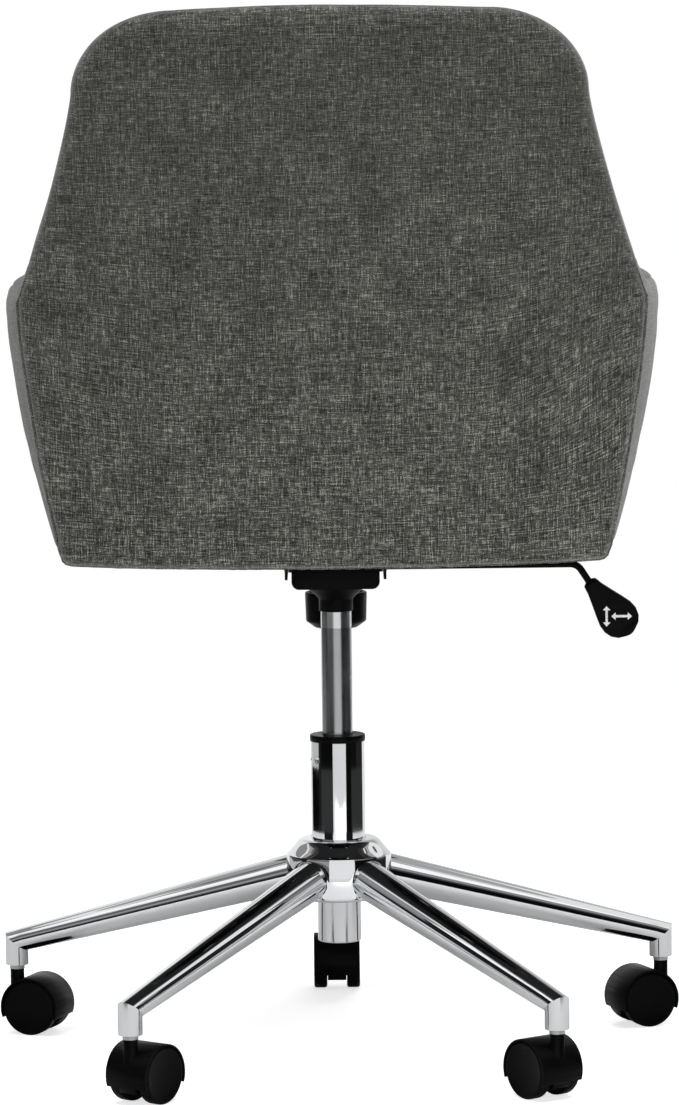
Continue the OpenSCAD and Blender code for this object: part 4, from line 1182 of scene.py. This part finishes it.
def floor_surface(tree):
    away = add(tree, "VectorMath", {0: add(tree, "TexCoord", output="Object")}, "Value",
               operation="LENGTH")
    far = remap(tree, away, 0.9, 2.6)
    glow = times(tree, add(tree, "LightPath", output="Is Camera Ray"), floor_glow)
    matt = add(tree, "BsdfDiffuse", {"Color": (0.93, 0.93, 0.93, 1)})
    own = add(tree, "Emission", {"Color": (1, 1, 1, 1), "Strength": glow})
    near = add(tree, "AddShader", {0: matt, 1: own})
    white = add(tree, "Emission", {"Color": (1, 1, 1, 1), "Strength": 1.0})
    seen = add(tree, "MixShader", {0: far, 1: near, 2: white})
    return add(tree, "MixShader", {0: seen_directly(tree), 1: matt, 2: seen})


backdrop("floor", square(floor_reach, 0), [(0, 1, 2, 3)], floor_surface)

world = bpy.data.worlds.new("studio")
bpy.context.scene.world = world
world.use_nodes = True
sky = world.node_tree
sky.nodes.clear()
strength = remap(sky, seen_directly(sky), 0.0, 1.0, ambient, 1.0)
shine = add(sky, "Background", {"Color": (1, 1, 1, 1), "Strength": strength})
sky_output = sky.nodes.new("ShaderNodeOutputWorld")
sky.links.new(shine, sky_output.inputs["Surface"])
print("ambient light:", ambient)

# %% [markdown]
# ## Lights
# Small lamps would draw hard shadows in the weave, so all of them are large and soft. One
# hangs overhead, one stands on each side, a low one lifts the base, and one fills the front.
# They are kept out of reflections, where the cards below take their place.

# %% Lights
def soft_light(name, place, aim, width, height, power):
    data = bpy.data.lights.new(name, "AREA")
    data.shape = "RECTANGLE"
    data.size, data.size_y = width, height
    data.energy = power
    light = put(name, data)
    light.location = place
    away = np.array(aim, float) - place
    flat_length = math.hypot(away[0], away[1])
    light.rotation_euler = (math.atan2(flat_length, -away[2]), 0, math.atan2(-away[0], away[1]))
    light.visible_camera = False
    light.visible_glossy = False


soft_light("overhead", (0.0, -0.75, 3.1), (0.0, -0.1, 0.6), 2.2, 1.6, 77)
soft_light("left_side", (-3.0, -0.4, 0.95), (0.0, 0.0, 0.5), 1.6, 1.7, 18)
soft_light("right_side", (3.0, -0.6, 0.95), (0.0, 0.0, 0.5), 1.2, 1.7, 14)
soft_light("low_key", (0.25, -1.5, 0.2), (0.0, -0.2, 0.45), 1.0, 0.4, 9.5)
soft_light("front_fill", (0.7, 3.2, 1.5), (0.0, 0.0, 0.6), 2.0, 1.6, 66)
print("five soft lights")

# %% [markdown]
# ## Cards
# Chrome needs something dark to reflect. In a studio that is what black flags are for: tall
# dark cards round the camera, with a gap for the key light. A picture of a room could stand in
# for them, but cards are easier to move until each leg of the base has its dark and its bright
# stripe. They are seen by reflections alone. They take no light away from the cloth, and they
# cast no shadow.

# %% Cards
def studio_card(name, points, faces, greys):
    """A card that only reflections see. Each face has its own grey."""
    def surface(tree):
        grey = add(tree, "Attribute", output="Color", attribute_name="grey")
        return add(tree, "Emission", {"Color": grey, "Strength": 1.0})

    made = backdrop(name, points, faces, surface)
    layer = made.data.attributes.new("grey", "FLOAT", "FACE")
    layer.data.foreach_set("value", greys)
    for rays in ("camera", "diffuse", "transmission", "volume_scatter", "shadow"):
        setattr(made, "visible_" + rays, False)


def strip(first, count):
    """Faces between neighbouring pairs of points, like the gaps between a ladder's rungs."""
    return [(first + 2 * i, first + 2 * i + 2, first + 2 * i + 3, first + 2 * i + 1)
            for i in range(count)]


def upright_cards(name, cards, distance=1.3, eye_height=0.12, columns=8):
    """Cards bent round the chair. Each runs from one angle to another (0 is towards the camera,
    90 is on the right), in level bands from one angle above the horizon to another."""
    points, faces, greys = [], [], []
    for start, end, bands in cards:
        for low, high, grey in bands:
            levels = [max(0.0, eye_height + distance * math.tan(math.radians(e)))
                      for e in (low, high)]
            first = len(points)
            for a in np.radians(np.linspace(start, end, columns + 1)):
                points += [(distance * math.sin(a), -distance * math.cos(a), z) for z in levels]
            faces += strip(first, columns)
            greys += [grey] * columns
    studio_card(name, points, faces, greys)


near_left = [(-6, -2, 0.042), (-2, 2, 0.004), (2, 7, 0.17), (7, 14, 0.38), (14, 27, 0.15)]
upright_cards("cards_left", [
    (-56, -21, near_left + [(27, 33, 0.5)]),
    (-74, -56, near_left + [(32, 46, 1.25)]),
    (-88, -74, [(-6, 30, 0.016), (32, 42, 1.25), (42, 48, 0.35)]),
    (-97, -84, [(47, 54, 0.17)]),
    (-137, -88, [(-6, -2, 0.003), (-2, 2, 0.6), (2, 8, 0.09), (8, 19, 0.015),
                 (19, 25, 0.22), (25, 42, 0.32)]),
    (-135, -97, [(45, 60, 0.42)]),
    (-160, -135, [(38, 55, 0.66)]),
    (-180, -160, [(22, 28, 0.87), (28, 39, 0.70)])])
upright_cards("cards_right", [
    (34, 57, [(-6, 14, 0.004), (14, 21, 0.06), (21, 33, 0.3)]),
    (57, 84, [(-6, -2, 0.036), (-2, 14, 0.006), (14, 21, 0.06), (21, 32, 0.3), (32, 48, 1.25)]),
    (84, 92, [(-6, -2, 0.036), (-2, 30, 0.02), (44, 55, 0.68)]),
    (92, 124, [(-6, -2, 0.036), (-2, 3, 0.02), (3, 8, 0.06), (8, 13, 0.3), (13, 19, 0.55),
               (19, 30, 0.24), (30, 38, 0.15)]),
    (95, 140, [(45, 60, 0.46)]),
    (140, 180, [(0, 22, 0.8), (22, 28, 0.68), (28, 49, 0.45)])])

# Two dark sheets lie just above the floor, for the undersides of the legs.
sheet_columns = 6
low_points, low_faces = [], []
for start, end in ((-62, -24), (32, 62)):
    low_faces += strip(len(low_points), sheet_columns)
    for a in np.radians(np.linspace(start, end, sheet_columns + 1)):
        low_points += [(r * math.sin(a), -r * math.cos(a), 0.002) for r in (0.8, 1.3)]
studio_card("cards_low", low_points, low_faces, [0.012] * len(low_faces))
studio_card("card_ceiling", square(1.5, 2.6), [(0, 1, 2, 3)], [0.5])
print("cards in place")

# %% [markdown]
# ## Finish
# The last cell sets the colour view and brings the scene up to date. A dressed chair may
# stand a few millimetres proud of its frame, where cloth swells, and no more.

# %% Finish
bpy.context.scene.view_settings.view_transform = "Standard"
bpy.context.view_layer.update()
